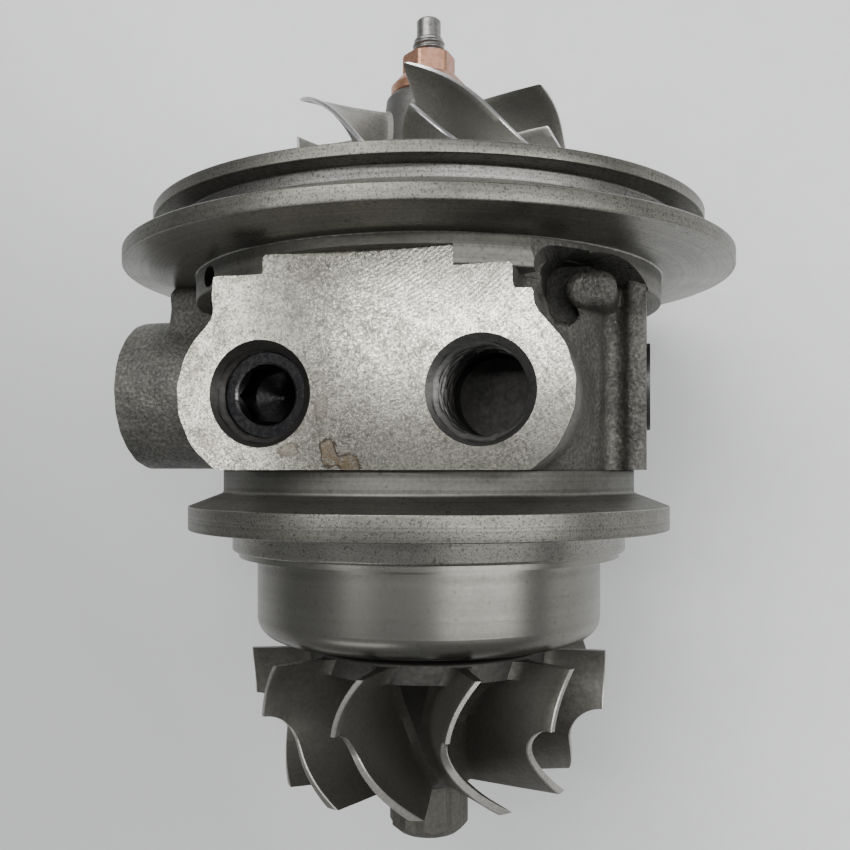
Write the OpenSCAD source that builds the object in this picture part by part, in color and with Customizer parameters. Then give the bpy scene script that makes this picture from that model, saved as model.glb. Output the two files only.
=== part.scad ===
// Turbo cartridge: bearing housing, heat shield and a shaft that carries a turbine and a compressor wheel.
// The shaft runs along Y with the compressor at +Y. The pad with the two oil ports faces +Z, the oil drain -Z.
// The origin is on the shaft axis, in the compressor-side face of the bearing housing. All sizes are in mm.

/* [Compressor flange] */
// Radius of the pilot lip on the compressor side
lip_r = 39.7; // [38.5:0.1:42]
// Thickness of the pilot lip
lip_h = 1.2; // [0.8:0.1:2]
// Rise of the rim that stands on the lip's face
rim_h = 0.3; // [0.2:0.1:0.6]
// Width of that rim
rim_w = 3.0; // [2:0.1:4]
// Radius of the groove floor behind the lip
groove_r = 36.2; // [35:0.1:37]
// Width of the groove
groove_w = 4.2; // [3:0.1:6]
// Radius of the clamp disc
disc_r = 43.8; // [42:0.1:48]
// Thickness of the clamp disc at its rim
disc_h = 2.05; // [1.5:0.05:3]
// Rise of the cone under the clamp disc
disc_cone_h = 0.75; // [0.3:0.05:1.5]
// Radius of the machined register below the disc
register_r = 33.85; // [33:0.05:36]
// Height of the register
register_h = 3.8; // [3:0.1:6]

/* [Casting] */
// Height of the cast body between the register and its machined base
body_h = 23.5; // [22.5:0.1:28]
// Radius of the cast body
body_r = 28.6; // [27:0.1:29.8]
// Radius of the scallop cast into the register
scallop_r = 18; // [15:0.1:20]
// Height of the scallop's top above the body base
scallop_top_h = 26.6; // [25.5:0.1:26.9]
// Direction of the scallop from the pad, towards the right boss
scallop_deg = 54.5; // [50:0.5:57]
// Radius of the cast lug under the scallop
lug_r = 2.3; // [1.8:0.1:2.8]
// Length of the lug between its round ends
lug_l = 1.9; // [1:0.1:3]
// Place of the cast lug across the shaft
lug_x = 25.0; // [24:0.1:26]
// Height of the cast lug above the foot of the casting
lug_h = 22.9; // [22:0.1:23.3]
// Distance of the lug's face from the shaft
lug_d = 18; // [16.5:0.1:18.5]
// Radius of the drilled locating hole in the register
locating_hole_r = 1.1; // [0.8:0.1:1.5]
// Place of the locating hole across the shaft
locating_hole_x = 24; // [22.5:0.1:25.5]
// Radius of the channel between the cast body and the right boss
channel_r = 1.4; // [1:0.1:1.7]
// Place of the channel across the shaft
channel_x = 27.7; // [27.2:0.1:28.2]
// Distance of the channel in front of the shaft
channel_d = 11.2; // [10.8:0.1:11.6]
// Radius of the pocket cast between the pad and the lug
pocket_r = 2.2; // [1.6:0.1:2.4]
// Place of the pocket across the shaft
pocket_x = 21.4; // [21:0.1:22]
// Distance of the pocket's floor from the shaft
pocket_d = 14; // [12:0.1:17]

/* [Turbine flange] */
// Radius of the neck above the clamp flange
neck_r = 30.05; // [29.9:0.05:32]
// Height of the neck
neck_h = 3.2; // [2.5:0.1:5]
// Radius of the clamp flange
clamp_r = 35.0; // [34:0.1:38]
// Angle of the clamp flange's bevel
clamp_deg = 21; // [15:0.5:25]
// Thickness of the clamp flange's rim
clamp_h = 3.3; // [2.5:0.1:5]
// Radius of the turbine spigot
spigot_r = 28.8; // [28.2:0.1:30]
// Height of the turbine spigot
spigot_h = 3.15; // [2.5:0.05:5]
// Radius of the seal nose at its end
nose_r = 12.2; // [11:0.1:13]
// Radius of the seal nose at its root
nose_root_r = 14; // [13.2:0.1:16]
// Length of the seal nose
nose_h = 8.2; // [6:0.1:9.5]

/* [Oil pad] */
// Distance of the pad face from the shaft axis
pad_d = 31.8; // [31:0.1:32.8]
// Spacing of the two oil ports
port_spacing = 27; // [25:0.1:28]
// Height of the oil ports above the body base
port_h = 9.2; // [8.5:0.1:10.5]
// Radius of the pad's lobes round the ports
lobe_r = 10.8; // [9:0.1:11.5]
// Half width of the pad above the lobes
pad_half_w = 19.6; // [18:0.1:21]
// Half width of the milled flat in the register
flat_half_w = 11.7; // [10:0.1:13]
// Shift of the milled flat to the left
flat_shift = 1.3; // [0:0.1:2]
// Height of the milled flat above the body base
flat_top_h = 25.9; // [25:0.1:26.5]
// Height of the pad beside the flat, above the foot of the casting
pad_top_h = 23.6; // [22.5:0.1:23.8]
// Width of the notch in the pad's upper right corner
notch_w = 2.4; // [1:0.1:4]
// Height of the notch above the foot of the casting
notch_h = 20.6; // [19:0.1:22]
// Radius of the tapped oil ports
oil_port_r = 5.25; // [4.5:0.05:5.5]
// Radius of the countersink at the port mouths
oil_mouth_r = 6.5; // [6.2:0.05:7]
// Depth of the tapped oil ports
oil_port_depth = 14.5; // [12:0.1:15]
// Radius of the oil galleries
gallery_r = 1.5; // [1:0.05:1.8]
// Distance of the galleries' meeting point from the shaft axis
gallery_d = 11.2; // [10.8:0.1:13]

/* [Coolant ports] */
// Distance of the left boss's face from the shaft axis
left_boss_x = 45.4; // [42:0.1:50]
// Distance of the right boss's face from the shaft axis
right_boss_x = 31.8; // [31:0.1:33]
// Radius of the two bosses
boss_r = 11.6; // [10.5:0.1:11.7]
// Height of the coolant ports above the body base
coolant_h = 11.8; // [11.75:0.05:13]
// Radius of the coolant ports
coolant_r = 6.2; // [5.5:0.05:6.8]
// Radius of the countersink at the left coolant port
coolant_mouth_r = 7.2; // [6.9:0.05:7.6]
// Reach of the shoulder that joins the left boss to the disc
shoulder_x = 39; // [36:0.1:41]
// Width of the shoulders beside the bosses
shoulder_w = 15; // [12:0.1:18]
// Inner radius of the coolant jacket
jacket_in_r = 15.5; // [15:0.1:17]
// Outer radius of the coolant jacket
jacket_out_r = 23.5; // [22:0.1:25]
// Height of the coolant jacket
jacket_h = 7; // [5:0.1:7.5]
// Radius of the channels between the ports and the jacket
riser_r = 3.6; // [3:0.1:4]

/* [Oil drain] */
// Spacing of the drain bolts
drain_spacing = 38; // [36:0.1:40]
// Radius of the tapped drain bolt holes
drain_bolt_r = 3.4; // [3:0.05:3.6]
// Radius of the ends of the drain flange
drain_lobe_r = 8.5; // [7.5:0.1:9]
// Radius of the drain neck
drain_neck_r = 11.2; // [10.5:0.1:11.6]
// Radius of the drain bore
drain_r = 8; // [7:0.1:8.5]
// Thickness of the drain flange
drain_flange_h = 7; // [5:0.1:9]
// Height of the drain above the body base
drain_z = 12; // [11.7:0.1:12.5]

/* [Bearings] */
// Radius of the shaft journals
journal_r = 4.0; // [3.8:0.05:4.3]
// Outer radius of the journal bearings
bearing_r = 6.4; // [6:0.05:6.6]
// Length of each journal bearing
bearing_l = 7.5; // [6:0.1:8]
// Radial running clearance of the journals
journal_clear = 0.04; // [0.02:0.01:0.08]
// Radial clearance of the bearings in the housing
bearing_clear = 0.06; // [0.03:0.01:0.09]
// Radius of the oil holes in the bearings
oil_hole_r = 0.9; // [0.5:0.05:1.2]
// Thickness of the retaining rings
ring_t = 0.9; // [0.7:0.05:1.2]
// Depth of the retaining ring grooves
ring_groove = 0.6; // [0.4:0.05:0.8]
// Radial width of the retaining rings
ring_w = 1.5; // [1.2:0.05:1.7]
// Axial gap between a ring and its bearing
ring_gap = 0.2; // [0.1:0.05:0.4]
// Depth of the oil relief round the middle of the bore
relief = 2; // [1:0.1:2.4]

/* [Thrust end] */
// Depth of the seal plate's seat below the compressor face
insert_depth = 6.9; // [6.5:0.1:7.5]
// Radius of the seal plate
insert_r = 24; // [22.5:0.1:25]
// Depth of the thrust bearing's recess
thrust_depth = 4.8; // [4.4:0.1:5.5]
// Radius of the thrust bearing
thrust_r = 17.2; // [16:0.1:18]
// Thickness of the thrust bearing
thrust_t = 3.8; // [3:0.1:4]
// Radius of the circle of the thrust bearing's screws
screw_circle_r = 13; // [12.6:0.1:13.2]
// Angle between the thrust bearing's screws
screw_deg = 70; // [60:1:80]
// Radius of the screws' shanks
screw_r = 1.5; // [1.2:0.05:1.8]
// Radius of the screws' heads
screw_head_r = 2.8; // [2.2:0.05:3]
// Height of the screws' heads
screw_head_h = 1.4; // [1:0.1:1.6]
// Radius of the thrust collar's flange
collar_r = 8; // [7:0.1:8.4]
// Thickness of the thrust collar's flange
collar_t = 1.9; // [1.5:0.1:2.4]
// Radius of the sleeve through the thrust bearing
sleeve_r = 5; // [4.5:0.1:5.5]
// Radius of the oil flinger's disc
flinger_r = 8.6; // [8:0.1:9.2]
// Radius of the flinger's seal journal
flinger_seal_r = 7.4; // [7:0.1:7.8]
// Thickness of the deflector plate
deflector_t = 0.8; // [0.6:0.1:1.2]
// Section radius of the seal plate's O-ring
o_ring_r = 0.85; // [0.7:0.05:1]
// Thickness of the seal plate's snap ring
snap_t = 1.2; // [1:0.05:1.4]
// Clearance between the thrust faces
thrust_clear = 0.1; // [0.06:0.01:0.15]
// Clearance of pieces that are set in or bolted down
seat_clear = 0.05; // [0.02:0.01:0.1]

/* [Turbine seal] */
// Radius of the turbine seal journal
seal_r = 7.9; // [7.4:0.05:8.2]
// Radial clearance of the seal journals in their bores
seal_clear = 0.15; // [0.1:0.01:0.25]
// Width of the piston rings
piston_ring_t = 1.3; // [1:0.05:1.6]
// Radial depth of the piston rings
piston_ring_w = 1.2; // [1:0.05:1.3]
// Clearance of the piston rings in their grooves
piston_ring_clear = 0.12; // [0.08:0.01:0.2]
// Outer radius of the heat shield cup
shield_r = 25.25; // [24:0.05:26]
// Radius of the heat shield's lip
shield_lip_r = 27.9; // [27:0.05:28]
// Wall of the heat shield
shield_t = 0.8; // [0.6:0.05:1]
// Depth of the heat shield below the spigot
shield_h = 12.5; // [11.5:0.1:13.5]
// Radius of the heat shield's rounded edge
shield_edge_r = 3; // [2:0.1:4]
// Radius of the hole in the heat shield
shield_hole_r = 9.4; // [9:0.1:11]

/* [Turbine wheel] */
// Number of turbine blades
turbine_blades = 11; // [9:1:12]
// Radius of the turbine wheel at the blade tips
turbine_tip_r = 26.05; // [25:0.05:27]
// Height of the turbine blade tips
turbine_tip_h = 7.5; // [6:0.1:9]
// Radius of the turbine outlet
turbine_exit_r = 21.2; // [20:0.1:22.5]
// Length of the turbine blades along the shaft
turbine_blade_l = 18.7; // [17:0.1:21]
// Gap between the heat shield and the wheel's back
turbine_gap = 1.5; // [0.5:0.1:2]
// Radius of the wheel's scalloped back disc
turbine_disc_r = 17.5; // [16:0.1:19]
// Radius of the hub at the turbine outlet
turbine_hub_r = 6.6; // [6.2:0.1:8]
// Thickness of the turbine blades at the root
turbine_root_t = 1.9; // [1.4:0.1:2.4]
// Thickness of the turbine blades at the tip
turbine_tip_t = 0.7; // [0.5:0.05:1.2]
// Turn of the inducer towards the wheel's back
turbine_lean_deg = 8.8; // [4:0.1:12]
// Turn of the blades from the inducer to the outlet
turbine_turn_deg = 23.5; // [18:0.5:30]
// Angular place of the first turbine blade
turbine_start_deg = 18; // [0:0.5:32]
// Width across the flats of the twelve-point hub end
hub_end_af = 10.2; // [9:0.1:11]
// Length of the twelve-point hub end
hub_end_h = 7.1; // [6:0.1:9]

/* [Compressor wheel] */
// Number of full compressor blades, with as many splitters between them
compressor_blades = 6; // [5:1:7]
// Radius of the compressor inlet
compressor_inlet_r = 19.7; // [18.5:0.05:21]
// Radius of the compressor outlet
compressor_exit_r = 25.5; // [24:0.1:28]
// Height of the blades' leading edges above the compressor face
compressor_edge_h = 17.2; // [15.5:0.1:19]
// Gap between the compressor face and the wheel's back
compressor_gap = 0.5; // [0.3:0.05:1]
// Thickness of the wheel's back disc at its rim
compressor_rim_t = 1.2; // [0.8:0.05:2]
// Height of the blades at the outlet
compressor_exit_h = 3.2; // [2.4:0.1:4]
// Radius of the hub at the leading edges
compressor_hub_r = 6.5; // [5.8:0.1:7.2]
// Length of the nose above the leading edges
compressor_nose_h = 2.8; // [1.5:0.1:4]
// Share of a blade's length at which the splitters start
splitter_start = 0.3; // [0.2:0.01:0.4]
// Thickness of the compressor blades at the root
compressor_root_t = 1.2; // [0.8:0.05:1.6]
// Thickness of the compressor blades at the tip
compressor_tip_t = 0.6; // [0.4:0.05:0.9]
// Angular place of the first full blade's leading edge
compressor_start_deg = 5; // [0:0.5:60]

/* [Shaft] */
// Radius of the shaft inside the compressor wheel
stub_r = 3.0; // [2.8:0.05:3.3]
// Radius of the thread at the shaft's end
thread_r = 2.4; // [2.2:0.05:2.6]
// Radius of the plain tip
tip_r = 1.8; // [1.4:0.05:2]
// Length of the thread above the nut
thread_h = 2.6; // [2:0.1:5]
// Length of the plain tip
tip_h = 3.0; // [1.5:0.1:4]
// Width across the flats of the nut
nut_af = 7; // [6:0.1:8]
// Height of the nut's hexagon
nut_h = 3.3; // [2.5:0.1:5]
// Radius of the nut's collar
nut_collar_r = 5.65; // [5.2:0.05:6]
// Height of the nut's collar
nut_collar_h = 2.9; // [2:0.1:4]

/* [Plugs] */
// Depth of the port plug below the pad face
plug_sink = 2.0; // [1.4:0.1:3]
// Length of the port plug
plug_l = 8.5; // [7:0.1:10]
// Width across the flats of the plug's socket
socket_af = 6.4; // [5:0.1:7]
// Depth of the plug's socket
socket_h = 4; // [3:0.1:5]
// Height that the coolant plug stands proud of its face
cup_proud = 0.5; // [0.3:0.1:0.9]
// Length of the coolant plug
cup_l = 4.5; // [3:0.1:6]
// Wall of the coolant plug
cup_t = 1.2; // [0.8:0.1:1.6]

/* [Hidden] */
$fn = 72;
eps = 0.01;
lip_z = -lip_h;
groove_z = lip_z - groove_w;
disc_z = groove_z - disc_h;
register_top_z = disc_z - disc_cone_h;
register_z = register_top_z - register_h;
base_z = register_z - body_h;
neck_z = base_z - neck_h;
bevel_h = (clamp_r - neck_r) * tan(clamp_deg);
clamp_z = neck_z - bevel_h;
seat_z = clamp_z - clamp_h;
spigot_z = seat_z - spigot_h;
nose_z = spigot_z - nose_h;
drain_d = disc_r;
port_x = port_spacing / 2;
port_z = base_z + port_h;
pad_top_z = base_z + pad_top_h;
notch_z = base_z + notch_h;
flat_top_z = base_z + flat_top_h;
lug_z = base_z + lug_h;
coolant_z = base_z + coolant_h;
drain_c = base_z + drain_z;
bore_r = bearing_r + bearing_clear;
seat_ledge_z = -insert_depth;
thrust_seat_z = seat_ledge_z - thrust_depth;
collar_seat_z = thrust_seat_z - thrust_clear - collar_t;
collar_pocket_z = collar_seat_z - 0.4;
comp_bearing_top = collar_pocket_z - 0.7;
comp_bearing_z = comp_bearing_top - bearing_l;
comp_ring_z = comp_bearing_z - ring_gap - ring_t;
cavity_top_z = seat_z + 2.5;
turb_ring_low_z = cavity_top_z + 1.4;
turb_bearing_z = turb_ring_low_z + ring_t + ring_gap;
turb_ring_high_z = turb_bearing_z + bearing_l + ring_gap;
relief_low_z = turb_ring_high_z + ring_t + 0.8;
relief_high_z = comp_ring_z - 0.8;
cavity_z = seat_z - 1.5;
cavity_r = seal_r + 4;
seal_bore_r = seal_r + seal_clear;
insert_bore_r = insert_r + seat_clear;
insert_seal_bore_r = flinger_seal_r + seal_clear;
insert_rim_top_z = -1.3 - snap_t;
snap_groove_r = insert_r + 1.4;
jacket_z = seat_z - 0.5;
riser_x = (jacket_in_r + jacket_out_r) / 2;
thrust_top_z = thrust_seat_z + thrust_t;
flinger_disc_z = thrust_top_z + thrust_clear;
flinger_disc_t = 1.5;
deflector_z = flinger_disc_z + flinger_disc_t + 0.4;
shield_top_z = spigot_z;
shield_z = shield_top_z - shield_h;
wheel_back_z = shield_z - turbine_gap;
turb_top_z = wheel_back_z - 0.5;
turb_tip_z = turb_top_z - turbine_tip_h;
turb_exit_z = turb_top_z - turbine_blade_l;
turb_step = turbine_tip_r - turbine_exit_r;
turb_turn_z = turb_tip_z - 1.4;
turb_disc_z = wheel_back_z - 2.8;
turb_hub_z = turb_exit_z - 0.7;
hub_end_top_z = turb_exit_z - 1.5;
hub_end_z = hub_end_top_z - hub_end_h;
weld_z = nose_z + 1.5;
seal_top_z = cavity_z + 1;
piston_ring_z = nose_z + 3;
comp_back_z = compressor_gap;
comp_hub_exit_z = comp_back_z + compressor_rim_t;
comp_tip_exit_z = comp_hub_exit_z + compressor_exit_h;
comp_edge_z = compressor_edge_h;
comp_nose_z = comp_edge_z + compressor_nose_h;
flinger_top_z = comp_back_z - 0.3;
flinger_ring_z = seat_ledge_z + 4;
nut_top_z = comp_nose_z + nut_collar_h + nut_h;
thread_top_z = nut_top_z + thread_h;
shaft_top_z = thread_top_z + tip_h;

// Lays the standing part down: its height becomes Y and its front becomes +Z.
module lay() {
    rotate([-90, 0, 0])
        children();
}

// A cylinder between two heights
module rod(r, z0, z1) {
    translate([0, 0, z0])
        cylinder(r = r, h = z1 - z0);
}

// A cone between two heights
module taper(r0, r1, z0, z1) {
    translate([0, 0, z0])
        cylinder(r1 = r0, r2 = r1, h = z1 - z0);
}

// A ring between two radii and two heights
module hoop(r0, r1, z0, z1) {
    translate([0, 0, z0])
        difference() {
            cylinder(r = r1, h = z1 - z0);
            translate([0, 0, -1])
                cylinder(r = r0, h = z1 - z0 + 2);
        }
}

// A split ring with its gap towards the given direction
module split_ring(r0, r1, z0, z1, gap, deg) {
    difference() {
        hoop(r0, r1, z0, z1);
        rotate([0, 0, deg - 90])
            translate([(r0 + r1) / 2, 0, (z0 + z1) / 2])
                cube([3 * (r1 - r0), gap, 2 * (z1 - z0)], center = true);
    }
}

// A cylinder that points to the front (-Y) between two distances from the axis
module front_rod(r, x, z, d0, d1) {
    translate([x, -d0, z])
        rotate([90, 0, 0])
            cylinder(r = r, h = d1 - d0);
}

// A cylinder that points along X between two places
module side_rod(r, y, z, x0, x1) {
    translate([x0, y, z])
        rotate([0, 90, 0])
            cylinder(r = r, h = x1 - x0);
}

// A drilling between two points
module drilling(a, b, r) {
    v = b - a;
    translate(a)
        rotate([0, acos(v.z / norm(v)), atan2(v.y, v.x)])
            cylinder(r = r, h = norm(v));
}

// Outline of the oil pad, across the shaft and along it
module pad_outline() {
    intersection() {
        union() {
            for (side = [-1, 1])
                translate([side * port_x, port_z])
                    circle(r = lobe_r);
            translate([-pad_half_w, port_z])
                square([2 * pad_half_w, notch_z - port_z]);
            translate([-pad_half_w, port_z])
                square([2 * pad_half_w - notch_w, pad_top_z - port_z]);
            translate([-flat_half_w - flat_shift, port_z])
                square([2 * flat_half_w, flat_top_z - port_z]);
            translate([-port_x, base_z])
                square([port_spacing, port_h]);
        }
        translate([-3 * pad_half_w, base_z])
            square([6 * pad_half_w, body_h + register_h]);
    }
}

// Outline of the drain flange
module drain_outline() {
    for (side = [-1, 1])
        translate([side * drain_spacing / 2, drain_c])
            circle(r = drain_lobe_r);
    translate([-drain_spacing / 2, drain_c - drain_lobe_r])
        square([drain_spacing, 2 * drain_lobe_r]);
    translate([0, drain_c])
        circle(r = drain_neck_r);
}

// Turned outside of the housing
module turned_body() {
    rotate_extrude()
        polygon([
            [0, nose_z],
            [nose_r, nose_z],
            [nose_root_r, spigot_z],
            [spigot_r - 0.6, spigot_z],
            [spigot_r, spigot_z + 0.6],
            [spigot_r, seat_z],
            [clamp_r, seat_z],
            [clamp_r, clamp_z],
            [neck_r, neck_z],
            [neck_r, base_z],
            [body_r, base_z],
            [body_r, 0],
            [0, 0]]);
}

// Register, clamp disc and pilot lip, with the scallop and the locating hole in the register
module compressor_flange() {
    difference() {
        rotate_extrude()
            polygon([
                [body_r - 4, register_z],
                [register_r, register_z],
                [register_r, register_top_z],
                [disc_r - 0.3, disc_z],
                [disc_r, disc_z + 0.3],
                [disc_r, groove_z - 0.3],
                [disc_r - 0.3, groove_z],
                [groove_r, groove_z],
                [groove_r, lip_z],
                [lip_r, lip_z],
                [lip_r, rim_h],
                [lip_r - rim_w, rim_h],
                [lip_r - rim_w - 0.3, 0],
                [body_r - 4, 0]]);
        rotate([0, 0, scallop_deg - 90])
            translate([0, 0, base_z + scallop_top_h - scallop_r])
                side_rod(scallop_r, 0, 0, body_r - 0.5, disc_r + 5);
        front_rod(locating_hole_r, -locating_hole_x, register_z + 2.1, 18.5, disc_r);
    }
}

// Cast bosses, shoulders, pad and drain
module castings() {
    rotate([90, 0, 0])
        translate([0, 0, body_r - 14])
            linear_extrude(pad_d - body_r + 14)
                pad_outline();
    translate([-pad_half_w, -pad_d + 2.8, pad_top_z - 1])
        cube([2 * pad_half_w - notch_w, 8, register_z + 0.3 - pad_top_z + 1]);
    side_rod(boss_r, 0, coolant_z, -left_boss_x, -body_r + 12);
    side_rod(boss_r, 0, coolant_z, body_r - 12, right_boss_x);
    translate([-shoulder_x, -shoulder_w / 2, coolant_z + boss_r - 6])
        cube([shoulder_x - body_r + 8, shoulder_w, disc_z - coolant_z - boss_r + 6]);
    translate([body_r - 8, -boss_r, base_z])
        cube([right_boss_x - body_r + 8, boss_r + shoulder_w / 2 + 1, body_h + 0.5]);
    translate([channel_x + channel_r - 0.2, -boss_r, register_z - 1])
        cube([right_boss_x - channel_x - channel_r + 0.2, boss_r + shoulder_w / 2 + 1, register_h + 1.1]);
    hull()
        for (side = [-1, 1])
            front_rod(lug_r, lug_x + side * lug_l / 2, lug_z, lug_d - 10, lug_d);
    rotate([-90, 0, 0])
        translate([0, -drain_c, 0])
            rod(drain_neck_r, body_r - 8, drain_d);
    rotate([-90, 0, 0])
        translate([0, 0, drain_d - drain_flange_h])
            linear_extrude(drain_flange_h)
                mirror([0, 1])
                    drain_outline();
}

// Turned bores on the shaft axis
module shaft_bores() {
    rod(seal_bore_r, nose_z - 1, cavity_z + eps);
    rod(cavity_r, cavity_z, cavity_top_z);
    rod(bore_r, cavity_top_z - eps, collar_pocket_z + eps);
    rod(bore_r + relief, relief_low_z, relief_high_z);
    for (z = [turb_ring_low_z, turb_ring_high_z, comp_ring_z])
        rod(bore_r + ring_groove, z - seat_clear, z + ring_t + seat_clear);
    rod(collar_r + 0.8, collar_pocket_z, thrust_seat_z + eps);
    rod(thrust_r + seat_clear, thrust_seat_z, seat_ledge_z + eps);
    rod(insert_bore_r, seat_ledge_z, 1);
    rod(snap_groove_r, insert_rim_top_z - seat_clear, insert_rim_top_z + snap_t + seat_clear);
}

// Oil ports with their galleries to the two bearings
module oil_passages() {
    meet = [0, -gallery_d, port_z];
    for (side = [-1, 1]) {
        front_rod(oil_port_r, side * port_x, port_z, pad_d - oil_port_depth, pad_d + 1);
        translate([side * port_x, -pad_d - eps, port_z])
            rotate([-90, 0, 0])
                cylinder(r1 = oil_mouth_r, r2 = oil_port_r - 0.2, h = oil_mouth_r - oil_port_r + 0.2);
        drilling([side * port_x, -pad_d + oil_port_depth - 2, port_z], meet, gallery_r);
    }
    drilling(meet, [0, -bore_r + 0.3, turb_bearing_z + bearing_l / 2], gallery_r * 0.8);
    drilling(meet, [0, -bore_r + 0.3, comp_bearing_z + bearing_l / 2], gallery_r * 0.8);
}

// Coolant ports, channels and the jacket round the turbine end
module coolant_passages() {
    side_rod(coolant_r, 0, coolant_z, -left_boss_x - 1, -riser_x);
    translate([-left_boss_x - eps, 0, coolant_z])
        rotate([0, 90, 0])
            cylinder(r1 = coolant_mouth_r, r2 = coolant_r - 0.2, h = coolant_mouth_r - coolant_r + 0.2);
    side_rod(coolant_r, 0, coolant_z, riser_x, right_boss_x + 1);
    for (side = [-1, 1])
        translate([side * riser_x, 0, 0])
            rod(riser_r, jacket_z + jacket_h / 2, coolant_z);
    hoop(jacket_in_r, jacket_out_r, jacket_z, jacket_z + jacket_h);
}

// Oil drain from the bearings, the turbine cavity and the thrust end
module drain_passages() {
    rotate([-90, 0, 0])
        translate([0, -drain_c, 0])
            rod(drain_r, bore_r + relief + 2.5, drain_d + 1);
    translate([-4, 0, relief_low_z])
        cube([8, bore_r + relief + 4, relief_high_z - relief_low_z]);
    translate([-3.5, bore_r + 1.5, cavity_top_z - 1])
        cube([7, cavity_r - bore_r - 2, relief_low_z - cavity_top_z + 3]);
    translate([-4.5, collar_r + 2, drain_c])
        cube([9, thrust_r - collar_r - 4, thrust_seat_z - drain_c + 1]);
    for (side = [-1, 1])
        translate([side * drain_spacing / 2, drain_d + 1, drain_c])
            rotate([90, 0, 0])
                cylinder(r = drain_bolt_r, h = drain_flange_h + 2);
}

module screw_holes(r) {
    for (deg = [-screw_deg, 0, screw_deg])
        rotate([0, 0, deg - 90])
            translate([screw_circle_r, 0, 0])
                rod(r, thrust_seat_z - 5, thrust_seat_z + 1);
}

module bearing_housing() {
    lay()
        color([0.32, 0.32, 0.33])
            difference() {
                union() {
                    difference() {
                        union() {
                            turned_body();
                            compressor_flange();
                        }
                        hull()
                            for (z = [register_z + 0.7, register_z - 3])
                                front_rod(pocket_r, pocket_x, z, pocket_d, disc_r);
                    }
                    castings();
                }
                translate([-flat_half_w - flat_shift, -disc_r, base_z + body_h - 1])
                    cube([2 * flat_half_w, disc_r - pad_d, flat_top_h - body_h + 1]);
                translate([channel_x, -channel_d, base_z - 0.3])
                    cylinder(r = channel_r, h = body_h + 0.9);
                shaft_bores();
                oil_passages();
                coolant_passages();
                drain_passages();
                screw_holes(screw_r + seat_clear);
            }
}

module port_plug() {
    face = pad_d - plug_sink;
    lay()
        color([0.12, 0.12, 0.13])
            difference() {
                front_rod(oil_port_r - seat_clear, -port_x, port_z, face - plug_l, face);
                translate([-port_x, -face + socket_h, port_z])
                    rotate([90, 0, 0])
                        cylinder(d = socket_af / cos(30), h = socket_h + 1, $fn = 6);
                translate([-port_x, -face - eps, port_z])
                    rotate([-90, 0, 0])
                        cylinder(r1 = socket_af / 2 + 0.9, r2 = socket_af / 2 - 0.1, h = 1);
                translate([-port_x, -face + socket_h - eps, port_z])
                    rotate([-90, 0, 0])
                        cylinder(r1 = socket_af / 2 - 0.2, r2 = 0.3, h = 1.4);
            }
}

module coolant_plug() {
    x1 = right_boss_x + cup_proud;
    lay()
        color([0.2, 0.2, 0.21])
            difference() {
                side_rod(coolant_r - seat_clear, 0, coolant_z, x1 - cup_l, x1);
                side_rod(coolant_r - cup_t, 0, coolant_z, x1 - cup_l - 1, x1 - cup_t);
            }
}

// Half section of the shield's cup, for a given inset of the wall
module cup_section(inset) {
    r = shield_r - inset;
    c = shield_edge_r - inset;
    z = shield_z + inset;
    translate([0, z])
        square([r - c, shield_top_z - z]);
    translate([0, z + c])
        square([r, shield_top_z - z - c]);
    translate([r - c, z + c])
        circle(r = c);
}

module heat_shield() {
    lay()
        color([0.72, 0.71, 0.68])
            difference() {
                rotate_extrude()
                    union() {
                        cup_section(0);
                        translate([0, shield_top_z - shield_t])
                            square([shield_lip_r, shield_t]);
                    }
                difference() {
                    rotate_extrude()
                        cup_section(shield_t);
                    hoop(shield_r, 2 * shield_r, shield_z - 1, shield_top_z + 1);
                }
                rod(shield_r - shield_t, shield_top_z - shield_t - 1, shield_top_z + 1);
                rod(shield_hole_r, shield_z - 1, shield_z + 2);
            }
}

module seal_plate() {
    groove_z0 = seat_ledge_z + 1.1;
    groove_z1 = groove_z0 + 2 * o_ring_r + 0.3;
    lay()
        color([0.62, 0.63, 0.65])
            difference() {
                union() {
                    rod(insert_r, seat_ledge_z, insert_rim_top_z);
                    rod(insert_r - 4.5, insert_rim_top_z - eps, -0.2);
                }
                hoop(insert_r - 2 * o_ring_r - 0.1, insert_r + 1, groove_z0, groove_z1);
                rod(thrust_r - 0.6, seat_ledge_z - 1, deflector_z + deflector_t);
                rod(flinger_r + 0.8, deflector_z, flinger_ring_z - 1);
                rod(insert_seal_bore_r, seat_ledge_z, 1);
            }
}

module seal_plate_o_ring() {
    lay()
        color([0.06, 0.06, 0.06])
            rotate_extrude()
                translate([insert_r - o_ring_r - 0.02, seat_ledge_z + 1.25 + o_ring_r])
                    circle(r = o_ring_r);
}

module seal_plate_snap_ring() {
    lay()
        color([0.25, 0.25, 0.27])
            split_ring(insert_r - 2.2, snap_groove_r - seat_clear, insert_rim_top_z, insert_rim_top_z + snap_t, 9, 180);
}

module thrust_bearing() {
    lay()
        color([0.74, 0.58, 0.26])
            difference() {
                rod(thrust_r, thrust_seat_z, thrust_top_z);
                rod(sleeve_r + thrust_clear, thrust_seat_z - 1, thrust_top_z + 1);
                translate([-7.5, collar_r + 1.4, thrust_seat_z - 1])
                    cube([15, thrust_r, thrust_t + 2]);
                screw_holes(screw_r + seat_clear);
                translate([0, 0, thrust_t])
                    screw_holes(screw_r + seat_clear);
            }
}

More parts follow.
